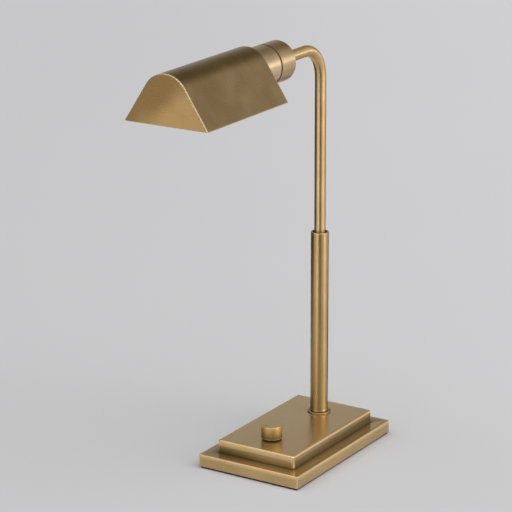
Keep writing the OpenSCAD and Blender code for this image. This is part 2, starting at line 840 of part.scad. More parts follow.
module bulb_glass() {
    color("#f4f1e6", 0.6) on_arm(glass_s) rotate_extrude() difference() {
        union() {
            translate([0, 0]) square([bulb_cap_r, 5]);
            translate([0, 5]) square([glass_r, glass_l - glass_r - 5]);
            intersection() {
                translate([0, glass_l - glass_r]) circle(r = glass_r);
                square([glass_r, glass_l]);
            }
        }
        translate([-1, -1]) square([bulb_cap_r - glass_t + 1, 8]);
        translate([-1, 5 + glass_t]) square([glass_r - glass_t + 1, glass_l - glass_r - 5 - glass_t]);
        translate([0, glass_l - glass_r]) circle(r = glass_r - glass_t);
    }
}

module bulb_filament() {
    color("#e8c56a") on_arm(glass_s) union() {
        cylinder(r = 4, h = 6);
        cylinder(r = 1.6, h = 14);
        for (a = [0 : 90 : 270]) rotate([0, 0, a]) translate([1.5, 0, 12]) rotate([0, 8, 0])
            cylinder(r = 0.8, h = glass_l - glass_r - 16);
    }
}

felt_pad();
bottom_cover();
cover_screws();
plinth();
tier_screws();
upper_tier();
inlet_grommet();
terminal_block();
terminal_screws();
dimmer_body();
dimmer_board();
dimmer_washer();
dimmer_nut();
dimmer_leads();
dimmer_shaft();
knob();
knob_screw();
post_collar();
post_plug();
post_washer();
post_nut();
post_tube();
guide_bush();
lamp_lead();
curly_lead();
glide_sleeve();
friction_rings();
swivel_pin();
arm_tube();
arm_lead();
rear_cup();
cup_washer();
tube_nuts();
stop_plate();
fibre_washers();
wave_washer();
front_cup();
shade_rear_plate();
shade_wrap();
shade_front_plate();
shade_ring_nut();
holder_cap();
holder_body();
holder_shell();
holder_contact();
bulb_cap();
bulb_glass();
bulb_filament();
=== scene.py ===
"""Looks of an adjustable desk lamp: stepped brass base, telescopic post, cranked arm, turning shade.

Sizes are in millimetres and become metres when a mesh is made. The origin lies under the middle of
the base, +Z is up and the shade points to -Y.
"""

import logging
import math
from abc import ABC, abstractmethod
from collections.abc import Iterable, Sequence
from dataclasses import dataclass, field
from enum import Enum

import bmesh
import bpy
from mathutils import Matrix, Vector, noise


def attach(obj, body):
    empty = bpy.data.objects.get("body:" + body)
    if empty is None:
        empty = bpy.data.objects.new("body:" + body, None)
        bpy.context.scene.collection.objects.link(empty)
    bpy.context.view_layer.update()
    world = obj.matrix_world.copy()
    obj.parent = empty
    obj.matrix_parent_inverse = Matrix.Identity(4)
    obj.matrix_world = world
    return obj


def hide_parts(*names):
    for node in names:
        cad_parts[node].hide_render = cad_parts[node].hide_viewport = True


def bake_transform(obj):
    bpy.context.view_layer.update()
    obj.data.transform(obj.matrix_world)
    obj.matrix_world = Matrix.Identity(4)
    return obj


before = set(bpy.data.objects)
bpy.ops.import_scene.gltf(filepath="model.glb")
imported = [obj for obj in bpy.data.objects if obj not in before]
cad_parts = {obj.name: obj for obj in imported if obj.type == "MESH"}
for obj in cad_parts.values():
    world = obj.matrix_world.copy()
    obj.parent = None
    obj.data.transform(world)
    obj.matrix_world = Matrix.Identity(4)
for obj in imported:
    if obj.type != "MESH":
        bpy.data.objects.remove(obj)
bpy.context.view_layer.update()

MM = 0.001
CORNER_STEPS = 8
ROUND_STEP = 15.0
FINE_STEP = 11.0
FOLD_DEG = 32.0
# How far wear runs out past a rounding, at most and as a share of the straight that follows.
WEAR_RUN = 1.1
WEAR_SHARE = 0.3
# How far a cutting tool stands out of the piece, and how near two heights count as one.
OVERCUT = 2.0
HAIR = 0.01
log = logging.getLogger("desk_lamp")
Colour = tuple[float, float, float]


# Outlines and meshes


@dataclass(frozen=True)
class Knot:
    """A corner of an outline: where it is, how far it is rounded, and its wear weight, which rubs it
    bright or, below zero, darkens it.
    """

    u: float
    v: float
    r: float = 0.0
    worn: float = 1.0


@dataclass(frozen=True)
class Mark:
    """A point of a finished outline with its wear."""

    u: float
    v: float
    wear: float = 0.0


def rounded(knots: Sequence[Knot], closed: bool = True, step: float = ROUND_STEP) -> list[Mark]:
    """Rounds the corners of an outline and keeps the wear close to them.

    Args:
        knots: The outline's corners in order.
        closed: Whether the last corner joins the first.
        step: Degrees of turn between two points of a rounding.

    Returns:
        The points of the rounded outline.
    """
    marks: list[Mark] = []
    count = len(knots)
    for i, knot in enumerate(knots):
        here = Vector((knot.u, knot.v))
        at_end = not closed and i in (0, count - 1)
        if knot.r <= 0.0 or at_end:
            marks.append(Mark(knot.u, knot.v))
            continue
        before, after = knots[i - 1], knots[(i + 1) % count]
        back = Vector((before.u, before.v)) - here
        ahead = Vector((after.u, after.v)) - here
        half = back.angle(ahead) / 2
        reach = knot.r / math.tan(half)
        hub = here + (back.normalized() + ahead.normalized()).normalized() * (knot.r / math.sin(half))
        first = here + back.normalized() * reach - hub
        turn = math.pi - 2 * half
        if first.x * (ahead.y - back.y) - first.y * (ahead.x - back.x) < 0:
            turn = -turn
        steps = max(3, math.ceil(abs(math.degrees(turn)) / step))
        arc = [hub + Matrix.Rotation(turn * k / steps, 2) @ first for k in range(steps + 1)]
        ends = []
        for way in (back, ahead):
            run = min(WEAR_RUN, WEAR_SHARE * (way.length - reach))
            ends.append(here + way.normalized() * (reach + run))
        marks.append(Mark(*ends[0]))
        marks.extend(Mark(*p, knot.worn) for p in arc)
        marks.append(Mark(*ends[1]))
    return marks


def soft_oblong(width: float, length: float, r: float, steps: int = CORNER_STEPS) -> list[Vector]:
    """Gives the outline of an oblong with rounded corners.

    Args:
        width: Size along x.
        length: Size along y.
        r: Corner radius.
        steps: Segments of each corner.

    Returns:
        Points in order, the same number for every size.
    """
    points = []
    for quarter, (sx, sy) in enumerate(((1, 1), (-1, 1), (-1, -1), (1, -1))):
        hub = Vector((sx * (width / 2 - r), sy * (length / 2 - r), 0.0))
        for k in range(steps + 1):
            a = math.radians(90 * (quarter + k / steps))
            points.append(hub + r * Vector((math.cos(a), math.sin(a), 0.0)))
    return points


def lifted(points: Iterable[Vector], z: float) -> list[Vector]:
    """Gives the points of an outline at a height."""
    return [p + Vector((0.0, 0.0, z)) for p in points]


def circle(steps: int) -> list[float]:
    """Gives the angles of equal steps round a circle."""
    return [2 * math.pi * k / steps for k in range(steps)]


def ease(t: float) -> float:
    """Goes from 0 to 1 with a soft start and a soft end."""
    t = min(1.0, max(0.0, t))
    return t * t * (3 - 2 * t)


class Draft:
    """A mesh in the making, in millimetres.

    Every point has a wear weight, from -1 where painted shade and grime darken it to 1 for a rubbed
    edge or a painted highlight, and the direction across the tool marks, which is the way from ring to
    ring.
    """

    def __init__(self) -> None:
        """Starts with no points and no faces."""
        self.points: list[Vector] = []
        self.wear: list[float] = []
        self.across: list[Vector] = []
        self.faces: list[tuple[int, ...]] = []

    def ring(self, points: Iterable[Vector], wear: float | Sequence[float] = 0.0) -> list[int]:
        """Adds one ring of points.

        Args:
            points: The ring's points.
            wear: One weight for all of them, or one each.

        Returns:
            The numbers of the new points.
        """
        first = len(self.points)
        self.points.extend(Vector(p) for p in points)
        count = len(self.points) - first
        self.wear.extend([wear] * count if isinstance(wear, (int, float)) else wear)
        self.across.extend(Vector((0.0, 0.0, 0.0)) for _ in range(count))
        return list(range(first, first + count))

    def hoop(
        self, hub: Vector, side: Vector, top: Vector, r: float, wear: float = 0.0, steps: int = 72
    ) -> list[int]:
        """Adds one round ring, as a stretch of a tube.

        Args:
            hub: The ring's middle.
            side: Direction of its first point.
            top: Direction a quarter turn on.
            r: Radius.
            wear: Weight of all its points.
            steps: Number of points.

        Returns:
            The numbers of the new points.
        """
        loop = [hub + r * (math.cos(a) * side + math.sin(a) * top) for a in circle(steps)]
        return self.ring(loop, wear)

    def loft(self, rings: Sequence[Sequence[int]], closed: bool = False) -> None:
        """Joins rings with faces.

        Args:
            rings: Rings of equal count, or of a single point where the surface closes.
            closed: Whether the last ring joins the first.
        """
        pairs = list(zip(rings, rings[1:]))
        if closed:
            pairs.append((rings[-1], rings[0]))
        for a, b in pairs:
            for i in range(max(len(a), len(b))):
                m, n = a[i % len(a)], b[i % len(b)]
                way = (self.points[n] - self.points[m]).normalized()
                self.across[m] += way
                self.across[n] += way
                j = i + 1
                corners = (a[i % len(a)], a[j % len(a)], b[j % len(b)], b[i % len(b)])
                face = tuple(dict.fromkeys(corners))
                if len(face) > 2:
                    self.faces.append(face)

    def fill(self, rings: Sequence[Sequence[int]]) -> None:
        """Joins rings with faces, and closes the first and the last one with a flat face."""
        self.loft(rings)
        self.faces.extend((tuple(rings[0]), tuple(rings[-1])))

    def turn(self, marks: Sequence[Mark], place: Matrix, closed: bool = True, steps: int = 96) -> None:
        """Turns an outline about its own axis.

        Args:
            marks: Outline, u as the radius and v along the axis.
            place: Where the axis stands.
            closed: Whether the outline closes on itself.
            steps: Segments round the axis.
        """
        rings = []
        for m in marks:
            turns = [0.0] if m.u < 1e-6 else circle(steps)
            around = [place @ Vector((m.u * math.cos(a), m.u * math.sin(a), m.v)) for a in turns]
            rings.append(self.ring(around, m.wear))
        self.loft(rings, closed)

    def mesh(self, name: str) -> bpy.types.Mesh:
        """Makes the mesh, in metres.

        Args:
            name: The mesh's name.

        Returns:
            A clean mesh with the wear and the direction across the tool marks on its points.
        """
        mesh = bpy.data.meshes.new(name)
        mesh.from_pydata([p * MM for p in self.points], [], self.faces)
        mesh.attributes.new("wear", "FLOAT", "POINT").data.foreach_set("value", self.wear)
        flat = [c for way in self.across for c in way.normalized()]
        mesh.attributes.new("across", "FLOAT_VECTOR", "POINT").data.foreach_set("vector", flat)
        work = bmesh.new()
        work.from_mesh(mesh)
        bmesh.ops.remove_doubles(work, verts=work.verts, dist=1e-7)
        bmesh.ops.dissolve_degenerate(work, edges=work.edges, dist=1e-8)
        bmesh.ops.recalc_face_normals(work, faces=work.faces)
        work.to_mesh(mesh)
        work.free()
        return mesh


def shape_up(piece: bpy.types.Object) -> None:
    """Smooths a piece's faces, keeps its folds sharp and its flats flat.

    Args:
        piece: The piece.
    """
    piece.data.shade_smooth()
    piece.data.set_sharp_from_angle(angle=math.radians(FOLD_DEG))
    flats = piece.modifiers.new("level", "WEIGHTED_NORMAL")
    flats.keep_sharp = True


def upright(x: float, y: float, z: float = 0.0) -> Matrix:
    """Places an axis upright at a point."""
    return Matrix.Translation((x, y, z))


def level(y: float, z: float) -> Matrix:
    """Places an axis level above the middle line, running forward."""
    return Matrix.Translation((0.0, y, z)) @ Matrix.Rotation(math.pi / 2, 4, "X")


def peg(r: float, low: float, high: float, place: Matrix, steps: int = 48) -> Draft:
    """Gives a plain round tool for cutting a hole.

    Args:
        r: Radius.
        low: Start along the axis.
        high: End along the axis.
        place: Where the axis stands.
        steps: Segments round the axis.

    Returns:
        The tool.
    """
    tool = Draft()
    tool.turn([Mark(0.0, low), Mark(r, low), Mark(r, high), Mark(0.0, high)], place, False, steps)
    return tool


def cut(piece: bpy.types.Object, tools: Sequence[Draft]) -> None:
    """Takes shapes out of a piece.

    Args:
        piece: The piece to cut, not yet smoothed.
        tools: The shapes to take out.
    """
    for tool in tools:
        spent = tool.mesh(f"{piece.name}_tool")
        cutter = bpy.data.objects.new(spent.name, spent)
        bpy.context.scene.collection.objects.link(cutter)
        step = piece.modifiers.new("cut", "BOOLEAN")
        step.operation = "DIFFERENCE"
        step.solver = "EXACT"
        step.object = cutter
        seen = piece.evaluated_get(bpy.context.evaluated_depsgraph_get())
        old = piece.data
        piece.data = bpy.data.meshes.new_from_object(seen)
        piece.modifiers.clear()
        bpy.data.meshes.remove(old)
        piece.data.name = piece.name
        bpy.data.objects.remove(cutter)
        bpy.data.meshes.remove(spent)


# Finishes


class Nodes:
    """Short calls for building a node tree."""

    def __init__(self, tree: bpy.types.NodeTree) -> None:
        """Empties the tree and keeps it."""
        self.tree = tree
        tree.nodes.clear()

    def add(self, kind: str, sockets: dict | None = None, **settings: object) -> bpy.types.Node:
        """Adds a node.

        Args:
            kind: Blender's name of the node, without its prefix.
            sockets: Input name or number, with a value or with the output to join to it.
            settings: The node's own properties.

        Returns:
            The node.
        """
        node = self.tree.nodes.new("ShaderNode" + kind)
        for key, value in settings.items():
            setattr(node, key, value)
        for key, value in (sockets or {}).items():
            if isinstance(value, bpy.types.NodeSocket):
                self.tree.links.new(value, node.inputs[key])
            else:
                node.inputs[key].default_value = value
        return node

    def cloud(self, where: object, scale: float, detail: float = 3.0) -> bpy.types.NodeSocket:
        """Gives soft noise from 0 to 1 at a scale per metre."""
        sockets = {"Vector": where, "Scale": scale, "Detail": detail, "Roughness": 0.6}
        return self.add("TexNoise", sockets).outputs[0]

    def vector(self, kind: str, a: object, b: object) -> bpy.types.NodeSocket:
        """Does one sum on two vectors, such as ADD or SUBTRACT."""
        return self.add("VectorMath", {0: a, 1: b}, operation=kind).outputs[0]

    def dot(self, a: object, b: Iterable[float]) -> bpy.types.NodeSocket:
        """Gives how far a vector goes along a direction."""
        return self.add("VectorMath", {0: a, 1: tuple(b)}, operation="DOT_PRODUCT").outputs[1]

    def bump(self, height: object, strength: float, depth: float) -> bpy.types.NodeSocket:
        """Gives the relief of a height, at a strength and a depth in metres."""
        sockets = {"Height": height, "Strength": strength, "Distance": depth}
        return self.add("Bump", sockets).outputs[0]

    def principled(self, sockets: dict) -> bpy.types.Node:
        """Adds the surface shader."""
        return self.add("BsdfPrincipled", sockets)

    def show(self, shader: bpy.types.Node) -> None:
        """Joins a shader to the material's output."""
        self.add("OutputMaterial", {"Surface": shader.outputs[0]})

    def span(self, value: object, low: float, high: float, to: float = 1.0) -> bpy.types.NodeSocket:
        """Spreads the stretch from low to high over 0 to a top value, eased at both ends."""
        sockets = {"Value": value, 1: low, 2: high, 3: 0.0, 4: to}
        return self.add("MapRange", sockets, interpolation_type="SMOOTHSTEP").outputs[0]

    def sum(self, kind: str, a: object, b: object) -> bpy.types.NodeSocket:
        """Does one sum on two numbers, such as ADD or MULTIPLY."""
        return self.add("Math", {0: a, 1: b}, operation=kind).outputs[0]

    def blend(self, share: object, a: object, b: object) -> bpy.types.NodeSocket:
        """Mixes two colours, the second one by its share."""
        pair = [(*c, 1.0) if isinstance(c, tuple) and len(c) == 3 else c for c in (a, b)]
        return self.add("Mix", {0: share, 6: pair[0], 7: pair[1]}, data_type="RGBA").outputs[2]


def blank(name: str) -> tuple[bpy.types.Material, Nodes]:
    """Starts a material.

    Args:
        name: The material's name.

    Returns:
        The material, and its empty node tree.
    """
    made = bpy.data.materials.new(name)
    made.use_nodes = True
    return made, Nodes(made.node_tree)


class Grain(Enum):
    """How a brushed surface is marked: streaks per metre along x, y and z."""

    CROSSWISE = (25.0, 900.0, 900.0)
    LENGTHWISE = (900.0, 25.0, 900.0)
    TURNED_UPRIGHT = (30.0, 30.0, 1100.0)
    TURNED_LEVEL = (30.0, 1100.0, 30.0)


class Finish(ABC):
    """A surface finish that makes its material once."""

    name: str

    def material(self) -> bpy.types.Material:
        """Gives the finish's material, making it at the first call."""
        made = bpy.data.materials.get(self.name)
        return made if made and made.get("dressed") else self._make()

    def _make(self) -> bpy.types.Material:
        """Makes the material and builds its nodes.

        Returns:
            The new material.
        """
        made, nodes = blank(self.name)
        made["dressed"] = True
        where = nodes.add("TexCoord").outputs["Object"]
        nodes.show(self.surface(nodes, where))
        return made

    @abstractmethod
    def surface(self, nodes: Nodes, where: bpy.types.NodeSocket) -> bpy.types.Node:
        """Builds the shader.

        Args:
            nodes: The material's node tree.
            where: Position on the piece, in metres.

        Returns:
            The shader node.
        """


@dataclass(frozen=True)
class AgedBrass(Finish):
    """Satin brass, browned in soft clouds and rubbed bright along its edges; its wear also paints
    highlights and, below zero, shade with some grime.
    """

    name: str
    grain: Grain
    deep: Colour
    fair: Colour
    brown: Colour = (0.38, 0.235, 0.105)
    # Rubbed colour, also used for painted highlights.
    bright: Colour = (0.80, 0.62, 0.39)
    # Colour of the painted shade in corners, at feet and in gaps, with some grime.
    shade_and_grime: Colour = (0.055, 0.045, 0.014)
    metal: float = 0.95
    roughness: float = 0.33
    swing: float = 0.04
    brushing: float = 0.04
    mark_deep: float = 0.00004
    stretch: float = 0.0
    marking: float = 0.14
    cloud: float = 24.0
    blot: float = 95.0
    blotting: float = 0.14
    speck: float = 1400.0
    rub: float = 0.62
    rub_rough: float = 0.15
    # How far negative wear darkens the tone: painted shade, with some grime.
    soil: float = 0.9
    soil_rough: float = 0.3
    lacquer: float = 0.1
    lacquer_rough: float = 0.25
    drift: tuple[float, float, float] = (0.0, 0.0, 0.0)
    drift_from: tuple[float, float, float] = (0.0, 0.0, 0.0)

    def surface(self, nodes: Nodes, where: bpy.types.NodeSocket) -> bpy.types.Node:
        """Builds the shader.

        Args:
            nodes: The material's node tree.
            where: Position on the piece, in metres.

        Returns:
            The shader node.
        """
        laid = nodes.add("Mapping", {"Vector": where, "Scale": self.grain.value}).outputs[0]
        clouds = nodes.cloud(where, self.cloud, 2.0)
        blots = nodes.cloud(where, self.blot, 3.0)
        specks = nodes.cloud(where, self.speck, 2.0)
        streaks = nodes.cloud(laid, 1.0, 4.0)
        depth = clouds
        if any(self.drift):
            off = nodes.vector("SUBTRACT", where, self.drift_from)
            depth = nodes.sum("ADD", clouds, nodes.dot(off, self.drift))
        tone = nodes.blend(nodes.span(depth, 0.32, 0.68), self.deep, self.fair)
        tone = nodes.blend(nodes.span(blots, 0.50, 0.80, self.blotting), tone, self.brown)
        tone = nodes.blend(nodes.span(streaks, 0.45, 0.75, self.marking), tone, self.brown)
        tone = nodes.blend(nodes.span(specks, 0.68, 0.80, 0.5 * self.marking), tone, self.brown)
        wear = nodes.add("Attribute", attribute_name="wear").outputs["Fac"]
        patchy = nodes.span(blots, 0.0, 0.45, self.rub)
        rubbed = nodes.sum("MULTIPLY", nodes.span(wear, 0.0, 1.0), patchy)
        # Negative wear darkens towards shade_and_grime: painted shade, with some grime.
        darkening_span = {"Value": wear, 1: 0.0, 2: -1.0, 3: 0.0, 4: self.soil}
        darkening = nodes.add("MapRange", darkening_span).outputs[0]
        # Positive wear rubs the tone bright; on the deck, the lit band, the ledge, the knob's top and
        # the shade's rim this is a painted highlight.
        tone = nodes.blend(rubbed, tone, self.bright)
        tone = nodes.blend(darkening, tone, self.shade_and_grime)
        rough: object = self.roughness - self.swing
        for more in (
            nodes.span(streaks, 0.3, 0.7, self.swing),
            nodes.span(clouds, 0.3, 0.7, self.swing),
            nodes.sum("MULTIPLY", darkening, self.soil_rough),
            nodes.span(wear, 0.75, 1.0, self.rub_rough),
        ):
            rough = nodes.sum("ADD", rough, more)
        sockets = {
            "Base Color": tone,
            "Metallic": self.metal,
            "Roughness": rough,
            "Normal": nodes.bump(streaks, self.brushing, self.mark_deep),
            "Coat Weight": self.lacquer,
            "Coat Roughness": self.lacquer_rough,
            "Anisotropic": self.stretch,
        }
        if self.stretch:
            way = nodes.add("Attribute", attribute_name="across").outputs["Vector"]
            spaces = {"convert_from": "OBJECT", "convert_to": "WORLD"}
            turned = nodes.add("VectorTransform", {0: way}, vector_type="VECTOR", **spaces)
            sockets["Tangent"] = turned.outputs[0]
        return nodes.principled(sockets)


@dataclass(frozen=True)
class PlainMetal(Finish):
    """Machined or plated metal with fine tool marks and dull patches."""

    name: str
    colour: Colour
    dull: Colour
    roughness: float = 0.3
    patch: float = 220.0

    def surface(self, nodes: Nodes, where: bpy.types.NodeSocket) -> bpy.types.Node:
        """Builds the shader.

        Args:
            nodes: The material's node tree.
            where: Position on the piece, in metres.

        Returns:
            The shader node.
        """
        spangle = nodes.add("TexVoronoi", {"Vector": where, "Scale": self.patch}).outputs["Color"]
        spread = nodes.add("SeparateColor", {0: spangle}).outputs[0]
        marks = nodes.cloud(where, 2200.0, 3.0)
        tone = nodes.blend(nodes.span(spread, 0.1, 0.9, 0.6), self.colour, self.dull)
        tone = nodes.blend(nodes.span(marks, 0.55, 0.75, 0.4), tone, self.dull)
        rough = nodes.sum("ADD", self.roughness, nodes.span(marks, 0.3, 0.7, 0.12))
        relief = nodes.bump(marks, 0.15, 0.00003)
        return nodes.principled(
            {"Base Color": tone, "Metallic": 1.0, "Roughness": rough, "Normal": relief}
        )


@dataclass(frozen=True)
class Moulding(Finish):
    """Moulded plastic, rubber or pressed fibre with a fine skin and faint flecks."""

    name: str
    colour: Colour
    fleck: Colour
    roughness: float = 0.45
    skin: float = 1800.0
    relief: float = 0.2
    glow: float = 0.0

    def surface(self, nodes: Nodes, where: bpy.types.NodeSocket) -> bpy.types.Node:
        """Builds the shader.

        Args:
            nodes: The material's node tree.
            where: Position on the piece, in metres.

        Returns:
            The shader node.
        """
        clouds = nodes.cloud(where, 90.0, 3.0)
        grain = nodes.cloud(where, self.skin, 3.0)
        tone = nodes.blend(nodes.span(clouds, 0.35, 0.75, 0.5), self.colour, self.fleck)
        tone = nodes.blend(nodes.span(grain, 0.55, 0.75, 0.5), tone, self.fleck)
        rough = nodes.sum("ADD", self.roughness - 0.05, nodes.span(grain, 0.3, 0.7, 0.12))
        sockets = {
            "Base Color": tone,
            "Roughness": rough,
            "Normal": nodes.bump(grain, self.relief, 0.00006),
            "Subsurface Weight": self.glow,
            "Subsurface Scale": 0.002,
        }
        return nodes.principled(sockets)


@dataclass(frozen=True)
class Felt(Finish):
    """Pressed black wool felt with matted fibres and a little lint."""

    name: str = "black_wool_felt"
    colour: Colour = (0.006, 0.006, 0.0055)
    fibre: Colour = (0.018, 0.017, 0.016)
    lint: Colour = (0.12, 0.115, 0.11)

    def surface(self, nodes: Nodes, where: bpy.types.NodeSocket) -> bpy.types.Node:
        """Builds the shader.

        Args:
            nodes: The material's node tree.
            where: Position on the piece, in metres.

        Returns:
            The shader node.
        """
        warp = nodes.add("TexNoise", {"Vector": where, "Scale": 320.0, "Detail": 2.0}).outputs[1]
        moved = nodes.vector("ADD", where, nodes.vector("MULTIPLY", warp, (0.004, 0.004, 0.004)))
        mat = nodes.cloud(moved, 1500.0, 5.0)
        cells = {"Vector": moved, "Scale": 900.0}
        wisps = nodes.add("TexVoronoi", cells, feature="DISTANCE_TO_EDGE").outputs[0]
        tone = nodes.blend(nodes.span(mat, 0.35, 0.7), self.colour, self.fibre)
        tone = nodes.blend(nodes.span(wisps, 0.035, 0.0, 0.25), tone, self.lint)
        height = nodes.sum("ADD", mat, nodes.span(wisps, 0.0, 0.2, 0.5))
        sockets = {
            "Base Color": tone,
            "Roughness": 0.95,
            "Normal": nodes.bump(height, 0.7, 0.0003),
            "Sheen Weight": 0.05,
            "Sheen Roughness": 0.5,
        }
        return nodes.principled(sockets)


@dataclass(frozen=True)
class CircuitBoard(Finish):
    """Green solder mask over copper tracks, with tinned pads."""

    name: str = "green_circuit_board"
    mask: Colour = (0.015, 0.09, 0.035)
    track: Colour = (0.03, 0.16, 0.06)
    tin: Colour = (0.55, 0.55, 0.53)

    def surface(self, nodes: Nodes, where: bpy.types.NodeSocket) -> bpy.types.Node:
        """Builds the shader.

        Args:
            nodes: The material's node tree.
            where: Position on the piece, in metres.

        Returns:
            The shader node.
        """
        lines = {"Vector": where, "Scale": 160.0, "Mortar Size": 0.08, "Bias": 0.2}
        grid = nodes.add("TexBrick", lines).outputs["Fac"]
        spots = {"Vector": where, "Scale": 300.0, "Randomness": 0.35}
        pads = nodes.add("TexVoronoi", spots).outputs["Distance"]
        tinned = nodes.span(pads, 0.26, 0.20)
        tone = nodes.blend(nodes.span(grid, 0.2, 0.8), self.mask, self.track)
        tone = nodes.blend(tinned, tone, self.tin)
        rough = nodes.sum("SUBTRACT", 0.42, nodes.sum("MULTIPLY", tinned, 0.12))
        relief = nodes.bump(grid, 0.3, 0.00005)
        return nodes.principled({"Base Color": tone, "Roughness": rough, "Normal": relief})


@dataclass(frozen=True)
class ClearGlass(Finish):
    """Thin clear bulb glass with a faint film and a little dust on it."""

    name: str = "clear_bulb_glass"
    colour: Colour = (0.97, 0.965, 0.95)
    film: Colour = (0.90, 0.89, 0.87)

    def surface(self, nodes: Nodes, where: bpy.types.NodeSocket) -> bpy.types.Node:
        """Builds the shader.

        Args:
            nodes: The material's node tree.
            where: Position on the piece, in metres.

        Returns:
            The shader node.
        """
        hazy = nodes.cloud(where, 60.0, 4.0)
        dust = nodes.cloud(where, 2500.0, 2.0)
        tone = nodes.blend(nodes.span(hazy, 0.35, 0.7), self.colour, self.film)
        rough = nodes.sum("ADD", 0.02, nodes.span(dust, 0.5, 0.8, 0.12))
        sockets = {
            "Base Color": tone,
            "Roughness": rough,
            "Normal": nodes.bump(dust, 0.05, 0.00003),
            "IOR": 1.5,
            "Transmission Weight": 0.97,
        }
        return nodes.principled(sockets)


@dataclass(frozen=True)
class FilamentStrip(Finish):
    """Yellow phosphor strips with a row of tiny chips under the coat."""

    name: str = "phosphor_filament"
    colour: Colour = (0.78, 0.56, 0.13)
    chip: Colour = (0.62, 0.38, 0.06)

    def surface(self, nodes: Nodes, where: bpy.types.NodeSocket) -> bpy.types.Node:
        """Builds the shader.

        Args:
            nodes: The material's node tree.
            where: Position on the piece, in metres.

        Returns:
            The shader node.
        """
        bands = {"Vector": where, "Scale": 130.0, "Distortion": 0.3}
        row = nodes.add("TexWave", bands, bands_direction="Y").outputs["Fac"]
        grain = nodes.cloud(where, 2600.0, 2.0)
        tone = nodes.blend(nodes.span(row, 0.55, 0.9), self.colour, self.chip)
        tone = nodes.blend(nodes.span(grain, 0.5, 0.8, 0.3), tone, self.chip)
        rough = nodes.sum("ADD", 0.4, nodes.span(grain, 0.3, 0.7, 0.15))
        relief = nodes.bump(row, 0.25, 0.0001)
        return nodes.principled({"Base Color": tone, "Roughness": rough, "Normal": relief})


BASE_BRASS = AgedBrass(
    "aged_brass_base",
    Grain.LENGTHWISE,
    (0.548, 0.371, 0.164),
    (0.618, 0.419, 0.190),
    # Rubbed colour, which the painted highlights of the deck, the lit band and the ledge also use.
    bright=(0.935, 0.68, 0.335),
    roughness=0.30,
    brushing=0.02,
    marking=0.06,
    lacquer=0.45,
)
# A darker copy of the brass: painted shade on the thin collar at the post's foot.
SHADED_COLLAR_BRASS = AgedBrass(
    "aged_brass_collar_shaded", Grain.TURNED_UPRIGHT, (0.36, 0.25, 0.11), (0.43, 0.30, 0.135), roughness=0.38
)
POST_BRASS = AgedBrass(
    "aged_brass_post",
    Grain.TURNED_UPRIGHT,
    (0.56, 0.38, 0.165),
    (0.64, 0.44, 0.195),
    roughness=0.32,
    stretch=0.9,
)
ARM_BRASS = AgedBrass(
    "aged_brass_arm",
    Grain.TURNED_UPRIGHT,
    (0.68, 0.46, 0.215),
    (0.78, 0.54, 0.255),
    roughness=0.32,
    stretch=0.9,
)
KNOB_BRASS = AgedBrass(
    "aged_brass_knob", Grain.TURNED_UPRIGHT, (0.66, 0.455, 0.175), (0.76, 0.53, 0.205), roughness=0.39
)
REAR_CUP_BRASS = AgedBrass(
    "aged_brass_rear_cup",
    Grain.TURNED_LEVEL,
    (0.63, 0.44, 0.24),
    (0.72, 0.51, 0.285),
    roughness=0.31,
    brushing=0.02,
    marking=0.06,
)
# A paler copy of the rear cup's brass, painting the brighter light on the front cup.
LIT_FRONT_CUP_BRASS = AgedBrass(
    "aged_brass_front_cup_lit",
    Grain.TURNED_LEVEL,
    (0.70, 0.507, 0.312),
    (0.80, 0.591, 0.372),
    roughness=0.31,
    brushing=0.02,
    marking=0.06,
)
SHEET_BRASS = AgedBrass(
    "aged_brass_sheet",
    Grain.LENGTHWISE,
    (0.366, 0.250, 0.1145),
    (0.459, 0.317, 0.148),
    roughness=0.28,
    brushing=0.012,
    marking=0.03,
)
PLATE_BRASS = AgedBrass(
    "aged_brass_plate",
    Grain.CROSSWISE,
    (0.395, 0.243, 0.088),
    (0.68, 0.425, 0.172),
    roughness=0.28,
    brushing=0.02,
    marking=0.035,
    cloud=13.0,
    drift=(9.0, 0.0, -8.0),
    drift_from=(0.0, 0.0, 0.358),
)
BARE_BRASS = PlainMetal("bare_turned_brass", (0.82, 0.62, 0.33), (0.66, 0.47, 0.22), 0.28)
ZINC_STEEL = PlainMetal("zinc_plated_steel", (0.62, 0.63, 0.64), (0.46, 0.47, 0.49), 0.30)
BLACK_STEEL = PlainMetal("blackened_steel", (0.05, 0.046, 0.04), (0.03, 0.028, 0.025), 0.42)
NICKEL = PlainMetal("nickel_plated_cap", (0.68, 0.67, 0.64), (0.52, 0.51, 0.48), 0.26)
RUBBER = Moulding("black_rubber", (0.016, 0.016, 0.016), (0.035, 0.034, 0.033), 0.62, relief=0.35)
CREAM = Moulding("cream_moulding", (0.72, 0.68, 0.58), (0.62, 0.58, 0.48), 0.42, glow=0.1)
WHITE = Moulding("white_moulding", (0.80, 0.78, 0.73), (0.70, 0.68, 0.62), 0.38, glow=0.1)
NYLON = Moulding("natural_nylon", (0.74, 0.71, 0.63), (0.64, 0.61, 0.54), 0.40, glow=0.2)
DARK_CAN = Moulding("dark_moulding", (0.035, 0.037, 0.040), (0.055, 0.057, 0.060), 0.5)
FIBRE = Moulding("red_brown_fibre", (0.16, 0.055, 0.028), (0.24, 0.095, 0.05), 0.7, 900.0, 0.5)
CORE = Moulding("brown_core_sleeve", (0.17, 0.035, 0.02), (0.22, 0.055, 0.03), 0.45)
FLEX = Moulding("black_flex_sleeve", (0.02, 0.02, 0.02), (0.04, 0.04, 0.04), 0.5)
FELT = Felt()
BOARD = CircuitBoard()
GLASS = ClearGlass()
FILAMENT = FilamentStrip()


# Sub-assemblies


